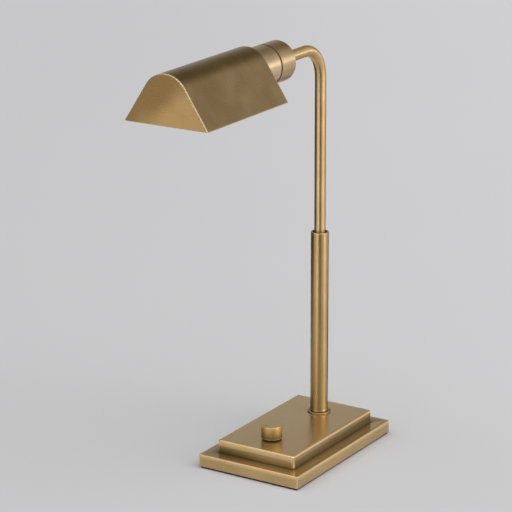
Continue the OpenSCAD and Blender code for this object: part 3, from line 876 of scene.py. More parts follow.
class Assembly(ABC):
    """A group of pieces that is built and dressed together."""

    body: str

    @abstractmethod
    def build(self) -> list[bpy.types.Object]:
        """Builds and dresses the pieces, and gives them back."""

    def add(
        self,
        name: str,
        draft: Draft,
        finish: Finish,
        slot: str,
        stands_for: Sequence[str],
        tools: Sequence[Draft] = (),
        reach: tuple[str, Vector, Vector] | None = None,
    ) -> bpy.types.Object:
        """Makes one piece and sets it on its body, unless it reaches to another.

        Args:
            name: The piece's name.
            draft: Its mesh in the making.
            finish: What it is dressed in.
            slot: The record's material slot; not used.
            stands_for: The solids that it replaces.
            tools: Shapes taken out of it.
            reach: Given for a piece that reaches to another body; it is then left off its body with its
                place baked into its mesh, and the body and the ends in it are not used.

        Returns:
            The piece.
        """
        piece = bpy.data.objects.new(name, draft.mesh(name))
        bpy.context.scene.collection.objects.link(piece)
        cut(piece, tools)
        shape_up(piece)
        piece.data.materials.clear()
        piece.data.materials.append(finish.material())
        if reach:
            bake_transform(piece)
        else:
            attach(piece, self.body)
        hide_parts(*stands_for)
        return piece

    @staticmethod
    def dress(finish: Finish, *names: str) -> list[bpy.types.Object]:
        """Gives a finish to solids that stay as they are.

        Args:
            finish: The finish.
            names: The solids' names.

        Returns:
            The dressed solids.
        """
        solids = [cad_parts[n] for n in names]
        for solid in solids:
            solid.data.materials.clear()
            solid.data.materials.append(finish.material())
        return solids


@dataclass
class Base(Assembly):
    """The two brass tiers with the felt under them, the cord grommet and what lies in the pocket."""

    body: str = "base"
    width: float = 102.0
    length: float = 161.5
    felt_t: float = 1.6
    felt_inset: float = 1.2
    felt_r: float = 1.2
    felt_corner_steps: int = 3
    felt_step: float = 1.6
    felt_rag: float = 0.16
    # Waves of the cut edge per millimetre, along it and up it.
    felt_wave: tuple[float, float] = (0.55, 3.1)
    # Height on the felt's cut edge, with how far it lies in.
    felt_edge: tuple[tuple[float, float], ...] = (
        (0.0, 0.45),
        (0.12, 0.2),
        (0.5, 0.0),
        (1.2, 0.0),
        (1.5, 0.18),
        (1.6, 0.4),
    )
    plinth_h: float = 11.2
    tier_w: float = 78.6
    tier_l: float = 136.1
    tier_h: float = 11.8
    wall: float = 3.0
    plinth_r: tuple[float, float] = (1.0, 1.6)
    tier_r: tuple[float, float] = (1.7, 2.6)
    tier_lean: float = 0.45
    lean_from: float = 1.2
    deck_run: float = 3.0
    least_r: float = 0.15
    # How much lighter the upper tier's top is painted: a painted highlight in the base's rubbed colour.
    deck_sheen: float = 0.62
    corner_rub: float = 0.9
    corner_rub_from: float = 1.0
    # Bevel at a tier's foot: how far it lies in, its height and its wear.
    foot_bevel: tuple[tuple[float, float, float], ...] = ((0.35, 0.0, -1.0), (0.1, 0.1, -0.9))
    # Height on the upper tier's sides, with the wear of each side in the order that around() takes:
    # patina at the foot, with painted shade that makes the right and the left of the front darker.
    side_patina_and_shade: tuple[tuple[float, tuple[float, ...]], ...] = (
        (0.3, (-0.88, -0.95, -0.6, -0.95, -0.55)),
        (2.0, (-0.8, -0.92, -0.4, -0.92, -0.3)),
        (5.0, (-0.66, -0.86, -0.15, -0.62, 0.0)),
        (7.0, (-0.5, -0.78, 0.0, 0.0, 0.0)),
    )
    # Part of the way up the band under the upper tier's top edge, with the painted highlight of its
    # front; its right side gets painted shade there.
    lit_band: tuple[tuple[float, float], ...] = ((0.2, 0.3), (0.45, 0.55), (0.7, 0.7))
    lit_band_h: float = 3.6
    lit_band_sides: tuple[float, float, float] = (-0.3, -0.55, 0.0)
    # Distance out from the upper tier on the ledge, with the wear on the right and on the rest: painted
    # shade near the tier, and a painted highlight further out on the right.
    ledge_shading: tuple[tuple[float, float, float], ...] = (
        (7.5, 0.8, -0.08),
        (3.0, 0.5, -0.4),
        (0.0, -0.6, -0.78),
        (-1.0, 0.0, 0.0),
    )
    inner_r: float = 1.0
    pocket: tuple[float, float] = (46.0, 112.0)
    rebate: tuple[float, float] = (66.0, 127.6)
    rebate_t: float = 1.5
    boss: tuple[float, float, float] = (28.2, 59.0, 4.5)
    screw_r: float = 2.1
    inlet_z: float = 7.28
    inlet_r: float = 3.93
    grommet_bore: float = 3.0
    grommet_neck: float = 3.9
    grommet_rim: tuple[float, float] = (4.7, 1.5)
    grommet_l: float = 13.5
    hole_y: float = 40.5
    hole_r: float = 5.1

    def build(self) -> list[bpy.types.Object]:
        """Builds and dresses the pieces.

        Returns:
            The pieces.
        """
        made = [self.felt(), self.plinth(), self.tier(), self.grommet()]
        made += self.dress(ZINC_STEEL, "bottom_cover", "cover_screws", "tier_screws")
        made += self.dress(CREAM, "terminal_block")
        made += self.dress(BARE_BRASS, "terminal_screws")
        return made

    @property
    def deck_z(self) -> float:
        """Height of the upper tier's top."""
        return self.felt_t + self.plinth_h + self.tier_h

    def shell(
        self, draft: Draft, size: tuple[float, float], low: float, high: float, upper: bool
    ) -> list[list[int]]:
        """Adds the rings of a tier's outer skin from its foot to its top.

        Args:
            draft: The tier's mesh in the making.
            size: Its width and length.
            low: Foot height.
            high: Top height.
            upper: Whether it is the upper tier, which leans in and has patina and painted shade on its
                sides.

        Returns:
            The rings.
        """
        soil = 1.0 if upper else 0.0
        edge_r, corner_r = self.tier_r if upper else self.plinth_r
        lean = soil * self.tier_lean
        top = [
            Knot(0.0, high - edge_r - self.lean_from),
            Knot(lean, high, edge_r),
            Knot(edge_r + self.deck_run, high),
        ]
        steps = [(Mark(inset, low + z), (wear,) * 5) for inset, z, wear in self.foot_bevel]
        steps += [(Mark(0.0, low + z), tuple(soil * w for w in sides)) for z, sides in self.side_patina_and_shade]
        if upper:
            for part, wear in self.lit_band:
                z = high - edge_r - self.lit_band_h * (1 - part)
                steps.append((Mark(lean * part * part, z), (*self.lit_band_sides, wear, wear)))
        rim = rounded(top, closed=False)[2:-1]
        steps += [(m, (m.wear,) * 5) for m in rim[:-1]]
        # The top's last ring is painted lighter, on the upper tier only.
        steps.append((rim[-1], (soil * self.deck_sheen,) * 5))
        rings = []
        for m, sides in steps:
            r = max(self.least_r, corner_r - m.u)
            outline = soft_oblong(size[0] - 2 * m.u, size[1] - 2 * m.u, r)
            wear = self.around(sides, self.corner_rub if m.v > low + self.corner_rub_from else None)
            rings.append(draft.ring(lifted(outline, m.v), wear))
        return rings

    @staticmethod
    def around(sides: Sequence[float], corner: float | None = None) -> list[float]:
        """Gives the wear of each point of a soft oblong.

        Args:
            sides: Wear at the near and far end of the right side, on the back, and at the left and
                right end of the front.
            corner: Wear in the middle of each corner, where it has its own.

        Returns:
            One weight for each point.
        """
        near, far, back, left_front, right_front = sides
        wear = []
        for start, end in ((far, back), (back, back), (back, left_front), (right_front, near)):
            for k in range(CORNER_STEPS + 1):
                plain = start + (end - start) * k / CORNER_STEPS
                rub = 0.0 if corner is None else math.sin(math.pi * k / CORNER_STEPS) * (corner - plain)
                wear.append(plain + rub)
        return wear

    def felt(self) -> bpy.types.Object:
        """Makes the felt pad, its cut edge a little uneven.

        Returns:
            The piece.
        """
        draft = Draft()
        wide = self.width - 2 * self.felt_inset
        long = self.length - 2 * self.felt_inset
        corner = soft_oblong(wide, long, self.felt_r, self.felt_corner_steps)
        outline: list[Vector] = []
        for a, b in zip(corner, corner[1:] + corner[:1]):
            parts = max(1, round((b - a).length / self.felt_step))
            outline.extend(a.lerp(b, k / parts) for k in range(parts))
        along, up = self.felt_wave
        rings = []
        for z, inset in self.felt_edge:
            ring = []
            for p in outline:
                rag = self.felt_rag * (1 + noise.noise(p * along + Vector((0.0, 0.0, up * z))))
                ring.append(p * (1 - (inset + rag) / max(abs(p.x), abs(p.y))))
            rings.append(draft.ring(lifted(ring, z)))
        draft.fill(rings)
        return self.add("base_felt", draft, FELT, "felt", ["felt_pad"])

    def plinth(self) -> bpy.types.Object:
        """Makes the lower tier with its pocket, the rebate for the cover and the cord hole.

        Returns:
            The piece.
        """
        draft = Draft()
        low, high = self.felt_t, self.felt_t + self.plinth_h
        rings = self.shell(draft, (self.width, self.length), low, high, False)
        for out, right, rest in self.ledge_shading:
            ledge = soft_oblong(self.tier_w + 2 * out, self.tier_l + 2 * out, self.inner_r)
            wear = self.around((right, right, rest, rest, rest))
            rings.append(draft.ring(lifted(ledge, high), wear))
        for size, z in (
            (self.pocket, high),
            (self.pocket, low + self.rebate_t),
            (self.rebate, low + self.rebate_t),
            (self.rebate, low),
        ):
            rings.append(draft.ring(lifted(soft_oblong(*size, self.inner_r), z)))
        draft.loft(rings, closed=True)
        back = self.length / 2
        deep = back - self.pocket[1] / 2 + OVERCUT
        hole = peg(self.inlet_r, -OVERCUT, deep, level(back, self.inlet_z))
        return self.add("base_lower_tier", draft, BASE_BRASS, "aged_brass", ["plinth"], [hole])

    def tier(self) -> bpy.types.Object:
        """Makes the upper tier, hollow underneath, with its screw bosses and two holes.

        Returns:
            The piece.
        """
        draft = Draft()
        low = self.felt_t + self.plinth_h
        ceiling = self.deck_z - self.wall
        inner = soft_oblong(self.tier_w - 2 * self.wall, self.tier_l - 2 * self.wall, self.inner_r)
        rings = [draft.ring(lifted(inner, z)) for z in (ceiling, low)]
        rings += self.shell(draft, (self.tier_w, self.tier_l), low, self.deck_z, True)
        draft.fill(rings)
        x, y, r = self.boss
        bore = self.screw_r
        boss = rounded([Knot(bore, low), Knot(r, low, 0.3, 0.0), Knot(r, ceiling), Knot(bore, ceiling)])
        for place in (upright(sx * x, sy * y) for sx in (-1, 1) for sy in (-1, 1)):
            draft.turn(boss, place, steps=32)
        holes = (upright(0.0, -self.hole_y), upright(0.0, self.hole_y))
        low_cut, high_cut = ceiling - OVERCUT / 2, self.deck_z + OVERCUT
        tools = [peg(self.hole_r, low_cut, high_cut, place) for place in holes]
        piece = self.add("base_upper_tier", draft, BASE_BRASS, "aged_brass", ["upper_tier"], tools)
        # The top's points that the cuts left without wear get the same painted highlight.
        for point, mark in zip(piece.data.vertices, piece.data.attributes["wear"].data):
            if point.co.z > (self.deck_z - HAIR) * MM and not mark.value:
                mark.value = self.deck_sheen
        return piece

    def grommet(self) -> bpy.types.Object:
        """Makes the rubber grommet of the cord inlet.

        Returns:
            The piece.
        """
        draft = Draft()
        bore, neck, end = self.grommet_bore, self.grommet_neck, self.grommet_l
        rim_r, rim_t = self.grommet_rim
        profile = [
            Knot(bore, 0.0, 0.6, 0.0),
            Knot(rim_r, 0.0, 0.7, 0.0),
            Knot(rim_r, rim_t, 0.2, 0.0),
            Knot(neck, rim_t),
            Knot(neck, end, 0.3, 0.0),
            Knot(bore, end, 0.3, 0.0),
        ]
        draft.turn(rounded(profile), level(self.length / 2 + rim_t, self.inlet_z), steps=64)
        return self.add("cord_grommet", draft, RUBBER, "rubber", ["inlet_grommet"])


@dataclass
class Dimmer(Assembly):
    """The knob on the front of the base, and the dimmer under it."""

    body: str = "dimmer"
    axis_y: float = -40.5
    low: float = 26.0
    height: float = 11.8
    knob_r: float = 9.3
    top_r: float = 0.5
    shaft_bore: tuple[float, float] = (3.03, 8.6)
    recess: tuple[float, float] = (7.43, 3.2)
    foot_r: float = 0.35
    # Painted shade, darkest at the knob's foot and on its foot rim, and a painted highlight on its top.
    foot_shading: float = 1.0
    foot_rim_shading: float = 0.65
    top_sheen: float = 0.85
    pointer_deg: float = 240.0
    pointer_w: float = 0.9
    pointer_deep: float = 0.7
    # Start and end of the pointer groove, as shares of the knob's radius.
    pointer_reach: tuple[float, float] = (0.45, 1.5)
    # The groove's section: share of its width, with the height above its floor.
    pointer_form: tuple[tuple[float, float], ...] = (
        (-0.5, 2.0),
        (-0.5, 0.3),
        (-0.28, 0.0),
        (0.28, 0.0),
        (0.5, 0.3),
        (0.5, 2.0),
    )
    # The grub screw's hole: radius, height and distance from the axis where it starts.
    grub: tuple[float, float, float] = (1.53, 5.75, 2.0)

    def build(self) -> list[bpy.types.Object]:
        """Builds and dresses the pieces.

        Returns:
            The pieces.
        """
        made = [self.knob()]
        made += self.dress(ZINC_STEEL, "dimmer_shaft", "knob_screw")
        made += self.dress(BLACK_STEEL, "dimmer_washer", "dimmer_nut")
        made += self.dress(DARK_CAN, "dimmer_body")
        made += self.dress(BOARD, "dimmer_board")
        made += self.dress(CORE, "dimmer_leads")
        return made

    def knob(self) -> bpy.types.Object:
        """Makes the turned knob with its pointer groove and grub screw hole.

        Returns:
            The piece.
        """
        draft = Draft()
        place = upright(0.0, self.axis_y, self.low)
        bore, bore_top = self.shaft_bore
        recess, recess_top = self.recess
        profile = [
            Knot(0.0, bore_top),
            Knot(bore, bore_top),
            Knot(bore, recess_top),
            Knot(recess, recess_top),
            Knot(recess, 0.0),
            Knot(self.knob_r, 0.0, self.foot_r, 0.1),
            Knot(self.knob_r, self.height, self.top_r, 0.45),
            Knot(0.0, self.height),
        ]
        outline = []
        for m in rounded(profile, closed=False, step=FINE_STEP):
            # Painted shade darkens the side towards the foot; the top gets a painted highlight.
            darkening = self.foot_shading * max(0.0, 1.0 - m.v / self.height)
            if m.v <= self.foot_r + HAIR:
                darkening = self.foot_rim_shading
            top = self.top_sheen if m.v > self.height - HAIR else 0.0
            outline.append(Mark(m.u, m.v, max(top, m.wear) - darkening))
        draft.turn(outline, place, closed=False)
        groove = Draft()
        aim = place @ Matrix.Rotation(math.radians(self.pointer_deg), 4, "Z")
        floor = self.height - self.pointer_deep
        rings = []
        for share in self.pointer_reach:
            out = share * self.knob_r
            loop = [aim @ Vector((out, self.pointer_w * a, floor + b)) for a, b in self.pointer_form]
            rings.append(groove.ring(loop))
        groove.fill(rings)
        r, high, start = self.grub
        side = place @ Matrix.Translation((0.0, 0.0, high)) @ Matrix.Rotation(-math.pi / 2, 4, "X")
        screw_hole = peg(r, start, self.knob_r + OVERCUT, side, 32)
        return self.add("dimmer_knob", draft, KNOB_BRASS, "aged_brass", ["knob"], [groove, screw_hole])


@dataclass
class Post(Assembly):
    """The outer tube on its foot collar, with the guide bush in its mouth and the glide inside."""

    body: str = "base"
    axis_y: float = 40.5
    foot_z: float = 24.6
    collar_r: float = 10.6
    collar_t: float = 1.2
    tube_r: float = 8.0
    tube_wall: float = 1.5
    mouth_z: float = 194.9
    # Height above the collar, with how much painted shade darkens the tube there.
    foot_shade: tuple[tuple[float, float], ...] = (
        (3.0, 0.4),
        (14.0, 0.31),
        (50.0, 0.14),
        (110.0, 0.0),
    )
    collar_bore: float = 5.1
    bush: tuple[float, float, float] = (6.47, 5.05, 22.0)
    bush_mouth: tuple[float, float] = (0.45, 1.2)
    bush_sunk: float = 1.3

    def build(self) -> list[bpy.types.Object]:
        """Builds and dresses the pieces.

        Returns:
            The pieces.
        """
        made = [self.collar(), self.tube(), self.guide()]
        made += self.dress(BARE_BRASS, "post_plug")
        made += self.dress(ZINC_STEEL, "post_washer", "post_nut", "swivel_pin")
        made += self.dress(NYLON, "glide_sleeve")
        made += self.dress(RUBBER, "friction_rings")
        return made

    def collar(self) -> bpy.types.Object:
        """Makes the foot collar with its rounded rim.

        Returns:
            The piece.
        """
        draft = Draft()
        profile = [
            Knot(self.collar_bore, 0.0),
            Knot(self.collar_r, 0.0, 0.15, -1.0),
            Knot(self.collar_r, self.collar_t, 0.6, 0.3),
            Knot(self.collar_bore, self.collar_t),
        ]
        draft.turn(rounded(profile), upright(0.0, self.axis_y, self.foot_z))
        return self.add("foot_collar", draft, SHADED_COLLAR_BRASS, "aged_brass", ["post_collar"])

    def tube(self) -> bpy.types.Object:
        """Makes the outer tube with its softened mouth.

        Returns:
            The piece.
        """
        draft = Draft()
        low, high = self.foot_z + self.collar_t, self.mouth_z
        bore = self.tube_r - self.tube_wall
        profile = [
            Knot(bore, low, 0.1, 0.0),
            Knot(self.tube_r, low, 0.25, -0.8),
            Knot(self.tube_r, high, 0.4, 0.8),
            Knot(bore, high, 0.2, 0.5),
        ]
        # The bore is painted dark, as the shade inside the mouth.
        outline = [Mark(m.u, m.v, -1.0 if m.u < bore + HAIR else m.wear) for m in rounded(profile)]
        foot_rings = [Mark(self.tube_r, low + z, -w) for z, w in self.foot_shade]
        middle = (low + high) / 2
        outline = [m for m in outline if m.v < middle] + foot_rings + [m for m in outline if m.v >= middle]
        draft.turn(outline, upright(0.0, self.axis_y))
        return self.add("post_outer_tube", draft, POST_BRASS, "aged_brass", ["post_tube"])

    def guide(self) -> bpy.types.Object:
        """Makes the guide bush with its open mouth.

        Returns:
            The piece.
        """
        draft = Draft()
        r, bore, length = self.bush
        low, high = self.mouth_z - length, self.mouth_z - self.bush_sunk
        mouth, sill = bore + self.bush_mouth[0], high - self.bush_mouth[1]
        # The mouth is painted dark, as the shade in the gap round the arm.
        profile = [
            Knot(bore, low, 0.15, 0.0),
            Knot(r, low, 0.2, 0.0),
            Knot(r, high, 0.12, -1.0),
            Knot(mouth, high, 0.3, -1.0),
            Knot(mouth, sill, 0.1, -1.0),
            Knot(bore, sill, 0.1, -1.0),
        ]
        draft.turn(rounded(profile), upright(0.0, self.axis_y))
        return self.add("post_guide_bush", draft, KNOB_BRASS, "aged_brass", ["guide_bush"])


@dataclass
class Arm(Assembly):
    """The cranked inner tube and the rear cup of the swivel with its nuts and washers."""

    body: str = "arm"
    axis_y: float = 40.5
    low: float = 126.0
    level_z: float = 362.9
    end_y: float = -68.8
    tube_r: float = 5.0
    bore_r: float = 4.0
    bend_r: float = 27.5
    bend_steps: int = 24
    mid_rise_z: float = 262.0
    mid_run_y: float = -10.0
    end_r: float = 0.3
    end_run: float = 0.35
    end_rub: float = 0.6
    fit: float = 0.03
    # Height where the tube stands in the post's mouth, with the painted shade of the mouth's gap there.
    mouth_shade: tuple[tuple[float, float], ...] = (
        (192.6, 0.0),
        (194.4, -0.55),
        (196.0, -0.45),
        (198.4, 0.0),
    )
    cup_s: float = 69.0
    cup_r: float = 17.8
    cup_bore: float = 16.3
    cup_l: float = 22.5
    cup_back: float = 2.5
    cup_edge: float = 1.6

    def build(self) -> list[bpy.types.Object]:
        """Builds and dresses the pieces.

        Returns:
            The pieces.
        """
        made = [self.tube(), self.cup()]
        made += self.dress(ZINC_STEEL, "cup_washer", "stop_plate", "wave_washer")
        made += self.dress(BARE_BRASS, "tube_nuts")
        made += self.dress(FIBRE, "fibre_washers")
        return made

    def along(self, s: float) -> Matrix:
        """Places an axis on the level arm, running forward from a distance past the post."""
        return level(self.axis_y - s, self.level_z)

    def course(self) -> list[tuple[Vector, Vector, float]]:
        """Gives the tube's centre line.

        Returns:
            Points with the direction that is outward in the bend, and the wear there.
        """
        hub = Vector((0.0, self.axis_y - self.bend_r, self.level_z - self.bend_r))
        back, up = Vector((0.0, 1.0, 0.0)), Vector((0.0, 0.0, 1.0))
        rise = [(self.low, self.end_rub), (self.low + self.end_run, 0.0)]
        rise += [*self.mouth_shade, (self.mid_rise_z, 0.0)]
        spots = [(Vector((0.0, self.axis_y, z)), back, wear) for z, wear in rise]
        for k in range(self.bend_steps + 1):
            a = math.radians(90 * k / self.bend_steps)
            out = math.cos(a) * back + math.sin(a) * up
            spots.append((hub + self.bend_r * out, out, 0.0))
        run = [(self.mid_run_y, 0.0), (self.end_y + self.end_run, 0.0), (self.end_y, self.end_rub)]
        spots += [(Vector((0.0, y, self.level_z)), up, wear) for y, wear in run]
        return spots

    def tube(self) -> bpy.types.Object:
        """Makes the cranked tube.

        Returns:
            The piece.
        """
        draft = Draft()
        spots = self.course()
        last = len(spots) - 1
        side = Vector((1.0, 0.0, 0.0))
        rings = []
        skins = ((self.tube_r, -self.end_r, spots), (self.bore_r, self.end_r, spots[::-1]))
        for r, bevel, order in skins:
            for k, (spot, out, wear) in enumerate(order):
                wide = r + bevel if k in (0, last) else r
                rings.append(draft.hoop(spot, out, side, wide, wear))
        draft.loft(rings, closed=True)
        return self.add("arm_cranked_tube", draft, ARM_BRASS, "aged_brass", ["arm_tube"])

    def cup(self) -> bpy.types.Object:
        """Makes the rear cup, fixed on the arm.

        Returns:
            The piece.
        """
        draft = Draft()
        hole = self.tube_r + self.fit
        profile = [
            Knot(hole, 0.0, 0.2, 0.5),
            Knot(self.cup_r, 0.0, self.cup_edge, 0.4),
            Knot(self.cup_r, self.cup_l, 0.15, -1.0),
            Knot(self.cup_bore, self.cup_l, 0.2, -1.0),
            Knot(self.cup_bore, self.cup_back, 0.6, 0.0),
            Knot(hole, self.cup_back),
        ]
        draft.turn(rounded(profile, step=FINE_STEP), self.along(self.cup_s), steps=128)
        return self.add("cup_rear", draft, REAR_CUP_BRASS, "aged_brass", ["rear_cup"])


class ShadeEnd(Enum):
    """An end of the shade: its word in the panel's name, and the solid that the panel replaces."""

    FRONT = ("front", "shade_front_plate")
    BACK = ("back", "shade_rear_plate")


@dataclass
class Shade(Assembly):
    """The trough shade on its front cup: one bent sheet, two end plates and the ring nut."""

    body: str = "head"
    arm: Arm = field(default_factory=Arm)
    cup_s: float = 92.3
    cup_l: float = 26.1
    flange_t: float = 2.0
    seat_gap: float = 0.02
    spigot_r: float = 16.5
    spigot_bore: float = 15.0
    spigot_end: float = 32.7
    slot: tuple[float, float, float] = (10.35, 13.65, 98.2)
    slot_steps: int = 40
    neck_t: float = 1.5
    back_y: float = -77.9
    front_y: float = -197.9
    foot_z: float = 341.4
    top_r: float = 22.0
    top_hub_z: float = 362.1
    side_deg: float = 56.6
    top_steps: int = 28
    side_steps: int = 8
    sheet_t: float = 1.0
    # Roundings of the sheet's ends: outside and inside in front, both edges behind.
    front_r: tuple[float, float] = (0.8, 0.06)
    edge_r: float = 0.22
    # How far back from the front the sheet is rubbed bright; this also paints the highlight along the
    # front rim.
    front_rub_and_sheen: float = 0.9
    # The sheet's feet: how far their edge is drawn in, and how far up it is rubbed, fully and at all.
    foot_draw: float = 0.2
    foot_rub: tuple[float, float] = (0.25, 1.3)
    fit: float = 0.03
    pivot_fit: float = 0.05
    # Depth in an end plate: how far its outline lies in there and stands off the foot, and its wear.
    plate_edge: tuple[tuple[float, float, float, float], ...] = (
        (0.0, 1.0, 0.12, 0.0),
        (0.0, 0.06, 0.0, 0.3),
        (0.06, 0.0, 0.0, 0.0),
        (0.84, 0.0, 0.0, 0.0),
        (1.0, 0.18, 0.12, 0.0),
    )
    plate_foot_x: tuple[float, ...] = (24.0, 12.0, 0.0, -12.0, -24.0)

    def build(self) -> list[bpy.types.Object]:
        """Builds and dresses the pieces.

        Returns:
            The pieces.
        """
        made = [self.cup(), self.wrap(), self.plate(ShadeEnd.FRONT), self.plate(ShadeEnd.BACK)]
        made += self.dress(BARE_BRASS, "shade_ring_nut")
        return made

    def cup(self) -> bpy.types.Object:
        """Makes the front cup with its spigot and the slot for the stop pin.

        Returns:
            The piece.
        """
        draft = Draft()
        r, bore, hole = self.arm.cup_r, self.arm.cup_bore, self.arm.tube_r + self.pivot_fit
        neck = self.cup_l - self.neck_t
        low, seat = self.seat_gap, self.flange_t - self.seat_gap
        profile = [
            Knot(hole, low, 0.1, -1.0),
            Knot(r, low, 0.15, -1.0),
            Knot(r, self.cup_l, 0.15, -0.8),
            Knot(self.spigot_r, self.cup_l),
            Knot(self.spigot_r, self.spigot_end, 0.3, 0.4),
            Knot(self.spigot_bore, self.spigot_end, 0.2, 0.4),
            Knot(self.spigot_bore, neck),
            Knot(bore, neck),
            Knot(bore, seat, 0.3, 0.0),
            Knot(hole, seat),
        ]
        place = self.arm.along(self.cup_s)
        draft.turn(rounded(profile), place, steps=128)
        tool = Draft()
        inner, outer, half = self.slot
        foot, top = -OVERCUT / 2, self.flange_t + OVERCUT / 2
        corners = ((inner, foot), (outer, foot), (outer, top), (inner, top))
        rings = []
        for k in range(self.slot_steps + 1):
            a = math.radians(90 - half + 2 * half * k / self.slot_steps)
            loop = [place @ Vector((q * math.cos(a), q * math.sin(a), z)) for q, z in corners]
            rings.append(tool.ring(loop))
        tool.fill(rings)
        return self.add("cup_front", draft, LIT_FRONT_CUP_BRASS, "aged_brass", ["front_cup"], [tool])

    def arch(self, inset: float) -> list[Vector]:
        """Gives the arched outline from the left foot to the right foot.

        Args:
            inset: Distance inside the shade's outer face.

        Returns:
            Points, y at zero.
        """
        slope = math.radians(self.side_deg)
        out = Vector((math.sin(slope), 0.0, math.cos(slope)))
        down = Vector((math.cos(slope), 0.0, -math.sin(slope)))
        r = self.top_r - inset
        hub = Vector((0.0, 0.0, self.top_hub_z))
        start = hub + r * out
        reach = (start.z - self.foot_z) / math.sin(slope)
        side = [start + down * reach * k / self.side_steps for k in range(self.side_steps, 0, -1)]
        left = [Vector((-p.x, 0.0, p.z)) for p in side]
        top = []
        for k in range(self.top_steps + 1):
            a = slope * (2 * k / self.top_steps - 1)
            top.append(hub + r * Vector((math.sin(a), 0.0, math.cos(a))))
        return left + top + side[::-1]

    def wrap(self) -> bpy.types.Object:
        """Makes the bent sheet with its softened cut edges.

        Returns:
            The piece.
        """
        draft = Draft()
        t = self.sheet_t
        section = rounded(
            [
                Knot(self.front_y, 0.0, self.front_r[0]),
                Knot(self.back_y, 0.0, self.edge_r),
                Knot(self.back_y, t, self.edge_r),
                Knot(self.front_y, t, self.front_r[1]),
            ]
        )
        rubbed = self.front_y + self.front_rub_and_sheen
        wear = [1.0 if m.u < rubbed else m.wear for m in section]
        along = [Vector((0.0, m.u, 0.0)) for m in section]
        outer, inner = self.arch(0.0), self.arch(t)
        last = len(outer) - 1
        draw = self.foot_draw
        rings = []
        for k, (p, q) in enumerate(zip(outer, inner)):
            deep = [p.lerp(q, m.v / t) + y for m, y in zip(section, along)]
            if k not in (0, last):
                rings.append(draft.ring(deep, wear))
                continue
            up = (outer[1 if k == 0 else -2] - p).normalized()
            edge = [p.lerp(q, draw + (1 - 2 * draw) * m.v / t) + y for m, y in zip(section, along)]
            near, past = ([v + up * rise for v in deep] for rise in self.foot_rub)
            stack = [(edge, 1.0), (near, 1.0), (past, wear)]
            if k:
                stack.reverse()
            rings.extend(draft.ring(*layer) for layer in stack)
        draft.fill(rings)
        return self.add("shade_sheet", draft, SHEET_BRASS, "aged_brass", ["shade_wrap"])

    def plate(self, end: ShadeEnd) -> bpy.types.Object:
        """Makes an end plate, flush with the end of the sheet.

        Args:
            end: Which end.

        Returns:
            The piece.
        """
        draft = Draft()
        t = self.sheet_t
        hub = Vector((0.0, 0.0, self.arm.level_z))
        outline = self.arch(t + self.fit) + [Vector((x, 0.0, self.foot_z)) for x in self.plate_foot_x]
        front = end is ShadeEnd.FRONT
        face, inward = (self.front_y, 1.0) if front else (self.back_y, -1.0)
        rings = []
        for depth, inset, lift, wear in self.plate_edge:
            loop = []
            for p in outline:
                spot = p + (hub - p).normalized() * inset
                spot.z = max(spot.z, self.foot_z + lift)
                loop.append(spot + Vector((0.0, face + inward * depth, 0.0)))
            rings.append(draft.ring(loop, wear))
        if front:
            draft.fill(rings)
        else:
            reach = self.spigot_r + self.fit
            for y in (face + inward * t, face):
                ring = [hub + (p - hub).normalized() * reach + Vector((0.0, y, 0.0)) for p in outline]
                rings.append(draft.ring(ring))
            draft.loft(rings, closed=True)
        word, node = end.value
        return self.add(f"shade_{word}_panel", draft, PLATE_BRASS, "aged_brass", [node])


